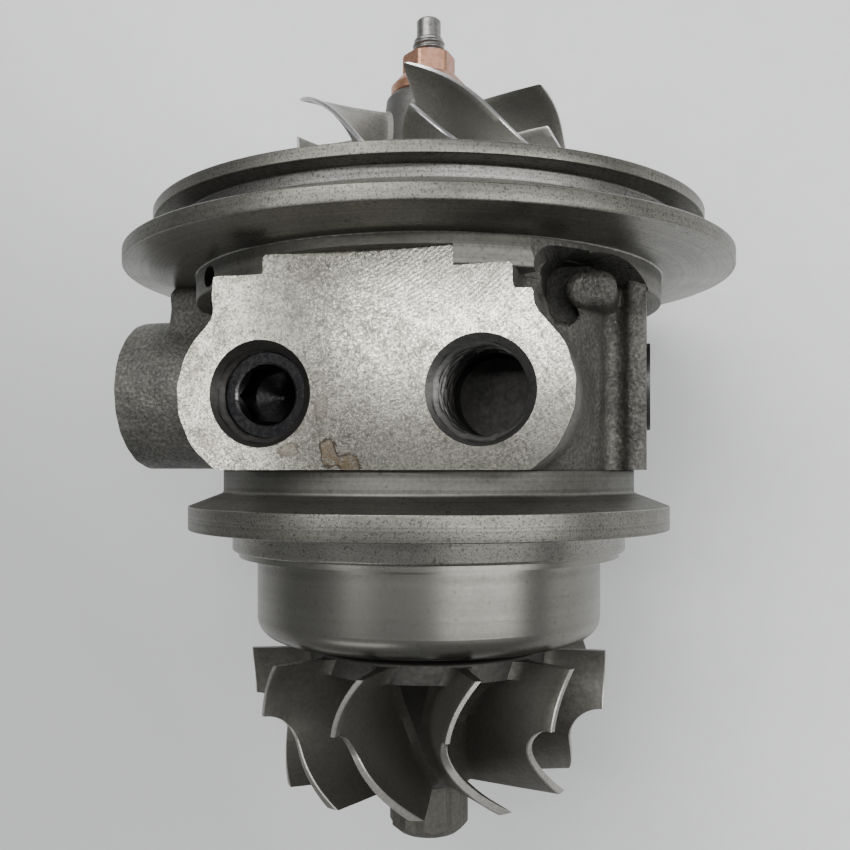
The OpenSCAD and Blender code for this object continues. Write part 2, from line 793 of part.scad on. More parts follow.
module thrust_bearing_screws() {
    lay()
        color([0.5, 0.5, 0.52])
            for (deg = [-screw_deg, 0, screw_deg])
                rotate([0, 0, deg - 90])
                    translate([screw_circle_r, 0, 0])
                        difference() {
                            union() {
                                rod(screw_r, thrust_seat_z - 4.5, thrust_top_z + eps);
                                rod(screw_head_r, thrust_top_z, thrust_top_z + screw_head_h);
                            }
                            translate([-0.4, -screw_head_r - 1, thrust_top_z + screw_head_h - 0.7])
                                cube([0.8, 2 * screw_head_r + 2, 2]);
                        }
}

module oil_deflector() {
    lay()
        color([0.6, 0.6, 0.6])
            difference() {
                union() {
                    hoop(flinger_r + 1, thrust_r - 0.8, deflector_z, deflector_z + deflector_t);
                    translate([-5, collar_r + 2.4, thrust_seat_z + 1])
                        cube([10, deflector_t, deflector_z - thrust_seat_z - 1 + eps]);
                }
                translate([-thrust_r, -thrust_r - 0.5, deflector_z - 1])
                    cube([2 * thrust_r, 5, deflector_t + 2]);
            }
}

module retaining_ring(z) {
    r = bore_r + ring_groove - seat_clear;
    lay()
        color([0.4, 0.4, 0.42])
            split_ring(r - ring_w, r, z, z + ring_t, 2.4, 180);
}

module bearing_ring_turbine_end() {
    retaining_ring(turb_ring_low_z);
}

module bearing_ring_turbine_inner() {
    retaining_ring(turb_ring_high_z);
}

module bearing_ring_compressor_inner() {
    retaining_ring(comp_ring_z);
}

module piston_ring(bore, z) {
    lay()
        color([0.35, 0.35, 0.36])
            split_ring(bore - seat_clear / 2 - piston_ring_w, bore - seat_clear / 2, z, z + piston_ring_t, 0.4, 180);
}

module turbine_piston_ring() {
    piston_ring(seal_bore_r, piston_ring_z);
}

module compressor_piston_ring() {
    piston_ring(insert_seal_bore_r, flinger_ring_z);
}

// Floating bearing with six oil holes
module journal_bearing(z) {
    lay()
        color([0.78, 0.62, 0.3])
            difference() {
                hoop(journal_r + journal_clear, bearing_r, z, z + bearing_l);
                for (deg = [0:60:300])
                    rotate([0, 0, deg])
                        side_rod(oil_hole_r, 0, z + bearing_l / 2, journal_r - 1, bearing_r + 1);
            }
}

module journal_bearing_turbine() {
    journal_bearing(turb_bearing_z);
}

module journal_bearing_compressor() {
    journal_bearing(comp_bearing_z);
}

// Groove for a piston ring, cut from a journal
module piston_groove(bore, z) {
    hoop(bore - piston_ring_w - 0.45, bore + 1, z - piston_ring_clear, z + piston_ring_t + piston_ring_clear);
}

module rotor_shaft() {
    lay()
        color([0.55, 0.55, 0.56])
            difference() {
                rotate_extrude()
                    polygon([
                        [0, weld_z],
                        [seal_r, weld_z],
                        [seal_r, seal_top_z],
                        [journal_r + 2, seal_top_z + 1],
                        [journal_r, seal_top_z + 2.5],
                        [journal_r, collar_seat_z],
                        [stub_r, collar_seat_z],
                        [stub_r, comp_nose_z - 1],
                        [thread_r, comp_nose_z - 0.4],
                        [thread_r, thread_top_z - 0.3],
                        [thread_r - 0.3, thread_top_z],
                        [tip_r, thread_top_z],
                        [tip_r, shaft_top_z - 0.3],
                        [tip_r - 0.3, shaft_top_z],
                        [0, shaft_top_z]]);
                piston_groove(seal_bore_r, piston_ring_z);
                hoop(journal_r - 0.25, journal_r + 1, relief_low_z + 0.5, relief_high_z - 0.5);
            }
}

module thrust_collar() {
    lay()
        color([0.5, 0.5, 0.53])
            difference() {
                union() {
                    rod(collar_r, collar_seat_z, collar_seat_z + collar_t);
                    rod(sleeve_r, collar_seat_z, flinger_disc_z);
                }
                rod(stub_r + seat_clear / 2, collar_seat_z - 1, flinger_disc_z + 1);
            }
}

module oil_flinger() {
    lay()
        color([0.52, 0.52, 0.55])
            difference() {
                union() {
                    rod(flinger_r, flinger_disc_z, flinger_disc_z + flinger_disc_t);
                    rod(flinger_seal_r, flinger_disc_z, flinger_top_z);
                }
                rod(stub_r + seat_clear / 2, flinger_disc_z - 1, flinger_top_z + 1);
                piston_groove(insert_seal_bore_r, flinger_ring_z);
            }
}

// Closed skin of a blade: two grids of points, one on each side, joined along their four edges
module blade_skin(points, rows, cols) {
    n = (rows + 1) * (cols + 1);
    a = [for (i = [0:rows - 1], j = [0:cols - 1]) i * (cols + 1) + j];
    w = cols + 1;
    near = [for (k = a) each [[k, k + w + 1, k + w], [k, k + 1, k + w + 1]]];
    far = [for (k = a) each [[n + k, n + k + w, n + k + w + 1], [n + k, n + k + w + 1, n + k + 1]]];
    low = [for (i = [0:rows - 1]) let (k = i * w) each [[k, k + w, n + k], [n + k, k + w, n + k + w]]];
    high = [for (i = [0:rows - 1]) let (k = i * w + cols) each [[k + w, k, n + k + w], [n + k + w, k, n + k]]];
    first = [for (j = [0:cols - 1]) each [[j + 1, j, n + j + 1], [n + j + 1, j, n + j]]];
    last = [for (j = [0:cols - 1]) let (k = rows * w + j) each [[k, k + 1, n + k], [n + k, k + 1, n + k + 1]]];
    polyhedron(points = points, faces = concat(near, far, low, high, first, last));
}

// A point at a radius, a turn from the front and a height
function spot(r, deg, z) = [r * sin(deg), -r * cos(deg), z];
function mix(a, b, t) = a + (b - a) * t;

// Turn of a turbine blade at a height
function turbine_turn(z) = z > turb_turn_z
    ? turbine_lean_deg * pow((z - turb_turn_z) / (turb_top_z - turb_turn_z), 2)
    : turbine_turn_deg * pow((z - turb_turn_z) / (turb_exit_z - turb_turn_z), 2);
function turbine_slope(z) = (turbine_turn(z + 0.05) - turbine_turn(z - 0.05)) / 0.1;

// Hub radius of the turbine wheel at a height
function turbine_hub(z) = z >= turb_disc_z
    ? turbine_disc_r
    : mix(turbine_disc_r, turbine_hub_r, sqrt(1 - pow((z - turb_hub_z) / (turb_disc_z - turb_hub_z), 2)));

// Half thickness of a turbine blade as an angle
function turbine_half_deg(r, z) = let (t = mix(turbine_root_t, turbine_tip_t, min(1, max(0, (r - 8) / (turbine_tip_r - 8)))))
    t / 2 / r * 180 / PI * sqrt(1 + pow(r * turbine_slope(z) * PI / 180, 2));

module turbine_blade() {
    cols = 4;
    tip = [for (i = [0:3]) [turbine_tip_r, mix(turb_top_z, turb_tip_z, i / 3)]];
    step = [for (i = [1:4]) let (p = i * 22.5) [turbine_tip_r - turb_step * sin(p), turb_tip_z - turb_step * (1 - cos(p))]];
    exit = [for (i = [1:4]) [turbine_exit_r, mix(turb_tip_z - turb_step, turb_exit_z, i / 4)]];
    edge = concat(tip, step, exit);
    rows = len(edge) - 1;
    points = [for (side = [-1, 1], e = edge, j = [0:cols])
        let (z = e.y, r = mix(turbine_hub(z) - 1.2, e.x, j / cols))
        spot(r, turbine_turn(z) + side * turbine_half_deg(r, z), z)];
    blade_skin(points, rows, cols);
}

module turbine_wheel() {
    hub = [for (i = [0:8]) let (p = 90 - i * 11.25)
        [turbine_hub_r + (turbine_disc_r - turbine_hub_r) * (1 - cos(p)), turb_hub_z + (turb_disc_z - turb_hub_z) * sin(p)]];
    lay()
        color([0.36, 0.33, 0.3])
            union() {
                rotate_extrude()
                    polygon(concat([[0, weld_z], [seal_r, weld_z], [seal_r, wheel_back_z + 1],
                        [seal_r + 1, wheel_back_z], [turbine_disc_r, wheel_back_z]], hub,
                        [[hub_end_af / 2 - 0.3, hub_end_top_z], [0, hub_end_top_z]]));
                for (i = [0:turbine_blades - 1])
                    rotate([0, 0, turbine_start_deg + i * 360 / turbine_blades])
                        turbine_blade();
                intersection() {
                    union() {
                        for (deg = [7, 37])
                            rotate([0, 0, deg])
                                translate([0, 0, hub_end_z])
                                    cylinder(d = hub_end_af / cos(30), h = hub_end_h + 0.5, $fn = 6);
                    }
                    taper(hub_end_af / 2 - 0.5, hub_end_af / 2 + 8, hub_end_z, hub_end_top_z + 0.5);
                }
            }
}

// Hub and tip lines of a compressor blade, from the leading edge (0) to the outlet (1)
function comp_hub(m) = [mix(compressor_hub_r, compressor_exit_r, 1 - cos(90 * m)), mix(comp_edge_z, comp_hub_exit_z, sin(90 * m))];
function comp_tip(m) = [mix(compressor_inlet_r, compressor_exit_r, 1 - cos(90 * m)), mix(comp_edge_z, comp_tip_exit_z, sin(90 * m))];

// Turn of a compressor blade along the hub and along the tip
function comp_hub_deg(m) = let (p = comp_hub(m), d = comp_edge_z - p.y)
    -4 + 2.2 * d + 5 * (1 - exp(-d / 1.8)) + 0.85 * (p.x - compressor_hub_r);
function comp_tip_deg(m) = let (p = comp_tip(m), d = comp_edge_z - p.y)
    2.05 * d + 22.9 * (1 - exp(-d / 2.76)) + 0.6 * (p.x - compressor_inlet_r);

// A point of the blade's middle surface: radius, turn and height
function comp_mid(m, s) = let (h = comp_hub(m), t = comp_tip(m))
    [mix(h.x, t.x, s), mix(comp_hub_deg(m), comp_tip_deg(m), s), mix(h.y, t.y, s)];
function comp_half_deg(m, s) = let (
        p = comp_mid(m, s), a = comp_mid(m - 0.01, s), b = comp_mid(m + 0.01, s),
        run = norm([b.x - a.x, b.z - a.z]), turn = (b.y - a.y) * PI / 180,
        t = mix(compressor_root_t, compressor_tip_t, s))
    t / 2 / p.x * 180 / PI * sqrt(1 + pow(p.x * turn / run, 2));

module compressor_blade(start) {
    rows = 11;
    spans = [-0.1, 0.2, 0.48, 0.75, 1];
    points = [for (side = [-1, 1], i = [0:rows], s = spans)
        let (m = mix(start, 0.995, pow(i / rows, 1.2)), p = comp_mid(m, s))
        spot(p.x, p.y + side * comp_half_deg(m, s), p.z)];
    blade_skin(points, rows, len(spans) - 1);
}

module compressor_wheel() {
    hub = [for (i = [10:-1:1]) comp_hub(i / 10)];
    lay()
        color([0.6, 0.6, 0.6])
            difference() {
                union() {
                    rotate_extrude()
                        polygon(concat([[0, flinger_top_z], [flinger_seal_r, flinger_top_z], [flinger_seal_r + 1, comp_back_z],
                            [compressor_exit_r, comp_back_z]], hub,
                            [[compressor_hub_r, comp_edge_z + 0.5], [compressor_hub_r - 0.2, comp_nose_z - 0.6], [compressor_hub_r - 0.7, comp_nose_z], [0, comp_nose_z]]));
                    for (i = [0:compressor_blades - 1])
                        rotate([0, 0, compressor_start_deg + i * 360 / compressor_blades]) {
                            compressor_blade(0);
                            rotate([0, 0, 180 / compressor_blades])
                                compressor_blade(splitter_start);
                        }
                }
                rod(stub_r + seat_clear / 2, flinger_top_z - 1, comp_nose_z + 1);
            }
}

module shaft_nut() {
    z0 = comp_nose_z;
    z1 = z0 + nut_collar_h;
    corner = nut_af / 2 / cos(30);
    lay()
        color([0.72, 0.5, 0.36])
            difference() {
                union() {
                    rod(nut_collar_r, z0, z0 + nut_collar_h / 2);
                    taper(nut_collar_r, corner + 0.3, z0 + nut_collar_h / 2, z1);
                    intersection() {
                        translate([0, 0, z1 - 0.5])
                            rotate([0, 0, 21.5])
                                cylinder(r = corner, h = nut_h + 0.5, $fn = 6);
                        taper(corner + nut_h + 0.2, corner - 0.3, z1 - 0.5, nut_top_z);
                    }
                }
                rod(thread_r + seat_clear / 2, z0 - 1, nut_top_z + 1);
            }
}

bearing_housing();
port_plug();
coolant_plug();
heat_shield();
seal_plate();
seal_plate_o_ring();
seal_plate_snap_ring();
thrust_bearing();
thrust_bearing_screws();
oil_deflector();
bearing_ring_turbine_end();
bearing_ring_turbine_inner();
bearing_ring_compressor_inner();
turbine_piston_ring();
compressor_piston_ring();
journal_bearing_turbine();
journal_bearing_compressor();
rotor_shaft();
turbine_wheel();
thrust_collar();
oil_flinger();
compressor_wheel();
shaft_nut();
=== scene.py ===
import math

import bmesh
import bpy
import numpy as np
from mathutils import Matrix, Vector


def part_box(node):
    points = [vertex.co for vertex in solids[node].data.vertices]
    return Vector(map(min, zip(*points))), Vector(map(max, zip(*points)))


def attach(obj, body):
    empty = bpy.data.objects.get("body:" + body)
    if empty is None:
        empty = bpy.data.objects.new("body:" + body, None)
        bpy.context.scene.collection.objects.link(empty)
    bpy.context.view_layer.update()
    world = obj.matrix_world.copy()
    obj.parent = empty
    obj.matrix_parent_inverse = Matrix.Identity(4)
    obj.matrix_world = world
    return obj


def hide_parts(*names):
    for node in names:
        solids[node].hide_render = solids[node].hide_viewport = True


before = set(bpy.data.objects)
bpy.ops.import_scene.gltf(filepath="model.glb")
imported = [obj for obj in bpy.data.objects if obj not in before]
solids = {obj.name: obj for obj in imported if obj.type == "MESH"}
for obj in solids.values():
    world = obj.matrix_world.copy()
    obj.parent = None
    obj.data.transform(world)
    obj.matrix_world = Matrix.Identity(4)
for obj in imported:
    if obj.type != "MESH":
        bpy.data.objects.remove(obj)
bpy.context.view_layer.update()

MILLIMETRE = 0.001
FULL_TURN = 2 * math.pi
ARC_STEPS = 4

# Sizes are in millimetres and follow the part's source. The shaft runs along Y,
# the compressor end is +Y and the oil pad faces +Z.
PAD_FACE_Z = 31.8
PORT_X = 13.5
PORT_Y = -26.3
CASTING_LOW_Y = -35.5
LEFT_BOSS_X = -45.4
RIGHT_BOSS_X = 31.8
COOLANT_Y = -23.7
DRAIN_Y = -23.5
DRAIN_FACE_Z = -43.8
DRAIN_BOLT_X = 19.0
LUG_X, LUG_Y, LUG_HALF_RUN = 25.0, -12.6, 0.95
POCKET_X, POCKET_Y, POCKET_HALF_RUN = 21.4, -13.15, 1.85
POCKET_LOW_Z = 13.9
SCALLOP_DEGREES = 54.5
CORE_R = 28.6
TURBINE_LENGTH = 27.3
TURBINE_DISC_R, TURBINE_HUB_R = 17.5, 6.6
NOSE_R, EYE_R, RIM_R, INLET_Y = 6.5, 19.7, 25.5, 17.2
WHEEL_BORE_R = 3.02
SHAFT_LOW_Y, SHAFT_HEAD_R = -53.75, 7.9
NUT_SEAT_Y, NUT_TOP_Y, NUT_FLANGE_R, NUT_HALF_ACROSS = 20.0, 26.2, 5.65, 3.5
TURBINE_TOP_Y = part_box("turbine_wheel")[0].y / MILLIMETRE + TURBINE_LENGTH

# How far out the cutting tools end, clear of the faces that they cut
OUTSIDE = 46

# Gaps below which points of a mesh are merged, in metres
DOUBLE_GAP = 1e-7
SLIVER_GAP = 2e-7
THIN_EDGE = 1e-8


# Meshes

def make_piece(name, points, faces):
    mesh = bpy.data.meshes.new(name)
    places = (np.asarray(points, float) * MILLIMETRE).tolist()
    mesh.from_pydata(places, [], [list(map(int, f)) for f in faces])
    piece = bpy.data.objects.new(name, mesh)
    bpy.context.scene.collection.objects.link(piece)
    return piece


def settle(piece):
    """Turns the piece and its modifiers into a plain mesh."""
    bpy.context.view_layer.update()
    graph = bpy.context.evaluated_depsgraph_get()
    mesh = bpy.data.meshes.new_from_object(piece.evaluated_get(graph))
    piece.modifiers.clear()
    piece.data = mesh
    return piece


def cut_away(piece, tools):
    """Cuts the tools out of the piece."""
    for tool in tools:
        cut = piece.modifiers.new("cut", "BOOLEAN")
        cut.operation = "DIFFERENCE"
        cut.solver = "EXACT"
        cut.object = tool
    settle(piece)
    return piece


def drop(tools):
    for tool in tools:
        bpy.data.objects.remove(tool)


def clean_mesh(piece):
    """Merges doubled points and turns all faces outwards."""
    work = bmesh.new()
    work.from_mesh(piece.data)
    bmesh.ops.remove_doubles(work, verts=work.verts, dist=DOUBLE_GAP)
    bmesh.ops.dissolve_degenerate(work, edges=work.edges, dist=THIN_EDGE)
    bmesh.ops.recalc_face_normals(work, faces=work.faces)
    work.to_mesh(piece.data)
    work.free()
    return piece


def mend_cuts(piece):
    """Merges the slivers that cutting leaves and takes out faces that lie back to back."""
    work = bmesh.new()
    work.from_mesh(piece.data)
    bmesh.ops.remove_doubles(work, verts=work.verts, dist=SLIVER_GAP)
    bmesh.ops.triangulate(work, faces=work.faces)
    bmesh.ops.dissolve_degenerate(work, edges=work.edges, dist=SLIVER_GAP)
    bmesh.ops.triangulate(work, faces=work.faces)
    work.verts.index_update()
    seen, twins = {}, set()
    for face in work.faces:
        corners = frozenset(v.index for v in face.verts)
        if corners in seen:
            twins.update((face, seen[corners]))
        seen[corners] = face
    bmesh.ops.delete(work, geom=list(twins), context="FACES")
    work.to_mesh(piece.data)
    work.free()
    return piece


def shade(piece, degrees):
    """Smooth faces, with edges sharp where they turn by more than the given degrees."""
    piece.data.shade_smooth()
    piece.data.set_sharp_from_angle(angle=math.radians(degrees))
    return piece


def join_pieces(name, pieces):
    """One mesh from several, with their finishes kept."""
    finishes, work = [], bmesh.new()
    for piece in pieces:
        places = []
        for finish in piece.data.materials:
            if finish not in finishes:
                finishes.append(finish)
            places.append(finishes.index(finish))
        first = len(work.faces)
        work.from_mesh(piece.data)
        work.faces.ensure_lookup_table()
        for face in work.faces[first:]:
            face.material_index = places[face.material_index] if places else 0
    mesh = bpy.data.meshes.new(name)
    work.to_mesh(mesh)
    work.free()
    for finish in finishes:
        mesh.materials.append(finish)
    drop(pieces)
    joined = bpy.data.objects.new(name, mesh)
    bpy.context.scene.collection.objects.link(joined)
    return joined


def rounded(corners):
    """A closed outline with each corner (r, y, rounding) made an arc."""
    points = []
    count = len(corners)
    for i, (r, y, rounding) in enumerate(corners):
        here = np.array([r, y], float)
        back = np.array(corners[i - 1][:2], float) - here
        ahead = np.array(corners[(i + 1) % count][:2], float) - here
        back_l, ahead_l = np.linalg.norm(back), np.linalg.norm(ahead)
        back, ahead = back / back_l, ahead / ahead_l
        half = math.acos(max(-1.0, min(1.0, float(back @ ahead)))) / 2
        if rounding <= 0 or half > 1.5:
            points.append(here)
            continue
        reach = min(rounding / math.tan(half), 0.45 * back_l, 0.45 * ahead_l)
        radius = reach * math.tan(half)
        middle = (back + ahead) / np.linalg.norm(back + ahead)
        centre = here + middle * radius / math.sin(half)
        start, end = here + back * reach - centre, here + ahead * reach - centre
        sweep = math.atan2(start[0] * end[1] - start[1] * end[0], float(start @ end))
        for k in range(ARC_STEPS + 1):
            a = sweep * k / ARC_STEPS
            c, s = math.cos(a), math.sin(a)
            points.append(centre + [c * start[0] - s * start[1], s * start[0] + c * start[1]])
    return np.array(points)


def on_wheel(r, turn, y):
    """A point at a radius, a turn from the pad's direction and a height along the shaft."""
    return np.stack([r * np.sin(turn), y + 0 * r, r * np.cos(turn)], -1)


def round_steps(turns):
    """The turns of evenly set points round a circle."""
    return np.arange(turns) * FULL_TURN / turns


def turn_round(name, corners, turns=192):
    """A turned shape from a closed outline."""
    outline = rounded(corners)
    x, y = outline[:, 0], outline[:, 1]
    if np.sum(x * np.roll(y, -1) - np.roll(x, -1) * y) < 0:
        outline = outline[::-1]
    count = len(outline)
    turn = round_steps(turns)
    radius = outline[None, :, 0] + 0 * turn[:, None]
    points = on_wheel(radius, turn[:, None], outline[None, :, 1]).reshape(-1, 3)
    i, j = np.meshgrid(np.arange(turns), np.arange(count), indexing="ij")
    i2, j2 = (i + 1) % turns, (j + 1) % count
    faces = np.stack([i * count + j, i2 * count + j, i2 * count + j2, i * count + j2], -1).reshape(-1, 4)
    return clean_mesh(make_piece(name, points, faces))


def shape_round(name, heights, radius, turns, bore=0.0):
    """A shape whose radius changes with turn and height, with flat ends and an optional bore."""
    turn = round_steps(turns)
    rows = [on_wheel(np.full(turns, bore), turn, heights[0])]
    for y in heights:
        rows.append(on_wheel(radius(turn, y), turn, y))
    rows.append(on_wheel(np.full(turns, bore), turn, heights[-1]))
    count = len(rows)
    points = np.concatenate(rows)
    faces = []
    last = count if bore else count - 1
    for j in range(last):
        a, b = j * turns, ((j + 1) % count) * turns
        for i in range(turns):
            k = (i + 1) % turns
            faces.append((a + i, a + k, b + k, b + i))
    return clean_mesh(make_piece(name, points, faces))


def thread_wave(phase):
    """Height of a thread, 0 at its root and 1 at its crest, for a phase in turns."""
    share = np.abs(2 * (phase - np.floor(phase)) - 1)
    return np.clip(1.5 * share - 0.25, 0, 1)


def stand_on(points, axis, place):
    """Sets points made along Z on an axis square to the shaft, starting from a place."""
    out = np.array(axis, float)
    side = np.array([0.0, 1.0, 0.0])
    across = points[:, :1] * np.cross(side, out) + points[:, 1:2] * side
    return across + points[:, 2:] * out + np.array(place, float)


def port_tool(name, axis, place, low, face, bore, thread, mouth, pitch=1.5, turns=72):
    """A cutting tool with a thread on it: axis is the direction it points out of the part."""
    heights = np.arange(low, face + 1.2, 0.16)
    turn = round_steps(turns)
    rows = [np.stack([0 * turn, 0 * turn, 0 * turn + heights[0]], -1)]
    for h in heights:
        depth = np.clip((h - low - 2.5) / 2.0, 0, 1)
        r = bore + thread * depth * thread_wave(h / pitch - turn / FULL_TURN)
        r = np.maximum(r, mouth - (face - h))
        rows.append(np.stack([r * np.cos(turn), r * np.sin(turn), 0 * turn + h], -1))
    rows.append(np.stack([0 * turn, 0 * turn, 0 * turn + heights[-1]], -1))
    points = np.concatenate(rows)
    faces = []
    for j in range(len(rows) - 1):
        a, b = j * turns, (j + 1) * turns
        for i in range(turns):
            k = (i + 1) % turns
            faces.append((a + i, a + k, b + k, b + i))
    return clean_mesh(make_piece(name, stand_on(points, axis, place), faces))


def rod_tool(name, axis, place, radius, low, high, turns=48):
    turn = round_steps(turns)
    ring = np.stack([radius * np.cos(turn), radius * np.sin(turn)], -1)
    points = np.concatenate([np.column_stack([ring, np.full(turns, h)]) for h in (low, high)])
    faces = [(i, (i + 1) % turns, turns + (i + 1) % turns, turns + i) for i in range(turns)]
    faces += [tuple(range(turns)), tuple(range(turns, 2 * turns))]
    return clean_mesh(make_piece(name, stand_on(points, axis, place), faces))


def block_tool(name, low, high):
    corners = [(x, y, z) for x in (low[0], high[0]) for y in (low[1], high[1]) for z in (low[2], high[2])]
    faces = [(0, 1, 3, 2), (4, 5, 7, 6), (0, 1, 5, 4), (2, 3, 7, 6), (0, 2, 6, 4), (1, 3, 7, 5)]
    return clean_mesh(make_piece(name, corners, faces))


# Casting: distances to its cast bosses, blended like the fillets of a sand mould

def blend(a, b, fillet):
    """Joins two distances with a fillet between the shapes."""
    h = np.clip(0.5 + 0.5 * (b - a) / fillet, 0, 1)
    return b * (1 - h) + a * h - fillet * h * (1 - h)


def within(sides, rounding):
    """Distance to a shape bounded by the given sides, with rounded edges."""
    outside, inside = 0, None
    for side in sides:
        side = side + rounding
        outside = outside + np.maximum(side, 0) ** 2
        inside = side if inside is None else np.maximum(inside, side)
    return np.minimum(inside, 0) + np.sqrt(outside) - rounding


def pad_outline(x, y):
    lobes = np.hypot(np.abs(x) - PORT_X, y - PORT_Y) - 10.8
    middle = within([np.abs(x) - 19.6, np.abs(y + 20.5) - 5.6], 0.4)
    upper = within([np.abs(x + 1.2) - 18.4, np.abs(y + 18.9) - 7.0], 0.4)
    flat = within([np.abs(x + 1.3) - 11.7, np.abs(y + 18.0) - 8.4], 0.1)
    lower = within([np.abs(x) - PORT_X, np.abs(y + 32.0) - 6.0], 0.2)
    return np.minimum(blend(blend(lobes, np.minimum(middle, upper), 1.2), lower, 1.0), flat)


def casting(x, y, z):
    rho = np.hypot(x, z)
    core = within([rho - CORE_R, np.abs(y + 24.5) - 13.2], 0.3)
    pocket = np.hypot(x - POCKET_X, np.maximum(np.abs(y - POCKET_Y) - POCKET_HALF_RUN, 0)) - 2.2
    core = np.maximum(core, -np.maximum(pocket, 14.0 - z))
    pad = within([pad_outline(x, y), np.abs(z - 24.0) - 9.2], 0.2)
    backing = within([np.abs(x + 1.2) - 18.4, np.abs(y + 16.0) - 4.4, np.abs(z - 22.0) - 6.8], 0.3)
    boss_r = np.hypot(y - COOLANT_Y, z)
    left = within([boss_r - 11.6, np.abs(x + 32.6) - 14.4], 0.8)
    right = within([boss_r - 11.6, np.abs(x - 24.0) - 9.0], 0.8)
    shoulder = within([np.abs(x + 29.8) - 9.2, np.abs(z) - 7.5, np.abs(y + 13.2) - 5.7], 1.6)
    block = within([np.abs(x - 26.4) - 5.7, np.abs(z - 1.55) - 10.05, np.abs(y + 24.2) - 12.9], 0.8)
    lug_side = np.hypot(np.maximum(np.abs(x - LUG_X) - LUG_HALF_RUN, 0), y - LUG_Y) - 2.3
    lug = within([lug_side, np.abs(z - 13.0) - 5.0], 1.2)
    drain_side = np.hypot(x, y - DRAIN_Y) - 11.2
    neck = within([drain_side, np.abs(z + 33.0) - 12.0], 0.5)
    lobes = np.hypot(np.maximum(np.abs(x) - DRAIN_BOLT_X, 0), y - DRAIN_Y) - 8.5
    flange = within([blend(lobes, drain_side, 2.0), np.abs(z + 41.3) - 4.5], 1.0)
    solid = np.minimum(blend(core, pad, 2.4), backing)
    solid = blend(solid, left, 4.0)
    solid = blend(solid, right, 3.0)
    solid = blend(solid, shoulder, 1.6)
    solid = blend(solid, block, 1.2)
    wall = within([np.abs(x - 30.5) - 1.6, np.abs(z - 1.55) - 10.05, np.abs(y + 11.6) - 3.4], 0.4)
    solid = blend(solid, wall, 0.4)
    channel = np.hypot(x - 27.7, z - 11.2) - 1.4
    solid = -blend(-solid, channel, 1.3)
    solid = blend(solid, lug, 0.8)
    solid = blend(solid, blend(neck, flange, 3.0), 4.0)
    ripple = 0.06 * np.sin(0.9 * x + 1.3 * y) * np.sin(0.8 * z - 0.7 * y) + 0.04 * np.sin(1.7 * y + 1.1 * z)
    return np.maximum(solid + ripple * np.clip((rho - 27) / 3, 0, 1), 26.6 - rho)


def skin_of(distance, low, high, step):
    """Quads over the surface where a distance is zero."""
    axes = [np.arange(a, b, step) for a, b in zip(low, high)]
    field = distance(*np.meshgrid(*axes, indexing="ij"))
    cells = tuple(n - 1 for n in field.shape)
    total, count = np.zeros((*cells, 3)), np.zeros(cells)
    crossings = []
    for axis in range(3):
        turned = np.moveaxis(field, axis, 0)
        a, b = turned[:-1], turned[1:]
        crossing = (a < 0) != (b < 0)
        share = np.where(crossing, a / np.where(crossing, a - b, 1), 0)
        others = [k for k in range(3) if k != axis]
        for du in (0, 1):
            for dv in (0, 1):
                span = (slice(None), slice(du, du + cells[others[0]]), slice(dv, dv + cells[others[1]]))
                hit = np.moveaxis(crossing[span], 0, axis)
                total[..., axis] += np.moveaxis(share[span], 0, axis)
                total[..., others[0]] += du * hit
                total[..., others[1]] += dv * hit
                count += hit
        crossings.append((np.moveaxis(crossing, 0, axis), np.moveaxis(a < 0, 0, axis)))
    used = count > 0
    index = np.full(cells, -1)
    index[used] = np.arange(used.sum())
    points = np.argwhere(used) + total[used] / count[used][:, None]
    points = points * step + np.array([a[0] for a in axes])
    faces = []
    for axis, (crossing, low_inside) in enumerate(crossings):
        u, v = (axis + 1) % 3, (axis + 2) % 3
        spots = np.argwhere(crossing)
        inner = (spots[:, u] > 0) & (spots[:, v] > 0) & (spots[:, u] < cells[u]) & (spots[:, v] < cells[v])
        spots = spots[inner]
        ring = []
        for du, dv in ((1, 1), (0, 1), (0, 0), (1, 0)):
            cell = spots.copy()
            cell[:, u] -= du
            cell[:, v] -= dv
            ring.append(index[tuple(cell.T)])
        ring = np.stack(ring, -1)
        flip = ~low_inside[tuple(spots.T)]
        ring[flip] = ring[flip][:, ::-1]
        faces.append(ring)
    nudge, longest_move = 0.02, 0.4
    for _ in range(3):
        value = distance(*points.T)
        slope = np.stack([(distance(*(points + nudge * e).T) - value) / nudge for e in np.eye(3)], -1)
        size = np.maximum((slope ** 2).sum(1), 0.2)
        points = points - np.clip(value / size, -longest_move, longest_move)[:, None] * slope
    return points, np.concatenate(faces)


def trim_flat(piece, place, normal):
    """Cuts the piece off at a machined plane and closes the cut with a flat face."""
    work = bmesh.new()
    work.from_mesh(piece.data)
    out = bmesh.ops.bisect_plane(
        work, geom=work.verts[:] + work.edges[:] + work.faces[:], dist=DOUBLE_GAP,
        plane_co=Vector(place) * MILLIMETRE, plane_no=Vector(normal), clear_outer=True)
    edges = [e for e in out["geom_cut"] if isinstance(e, bmesh.types.BMEdge)]
    bmesh.ops.triangle_fill(work, edges=edges, use_beauty=True, use_dissolve=False, normal=Vector(normal))
    work.to_mesh(piece.data)
    work.free()
    return piece


# Wheels: blades from the same rules as the solids, one blade each, set round the hub by a node tree

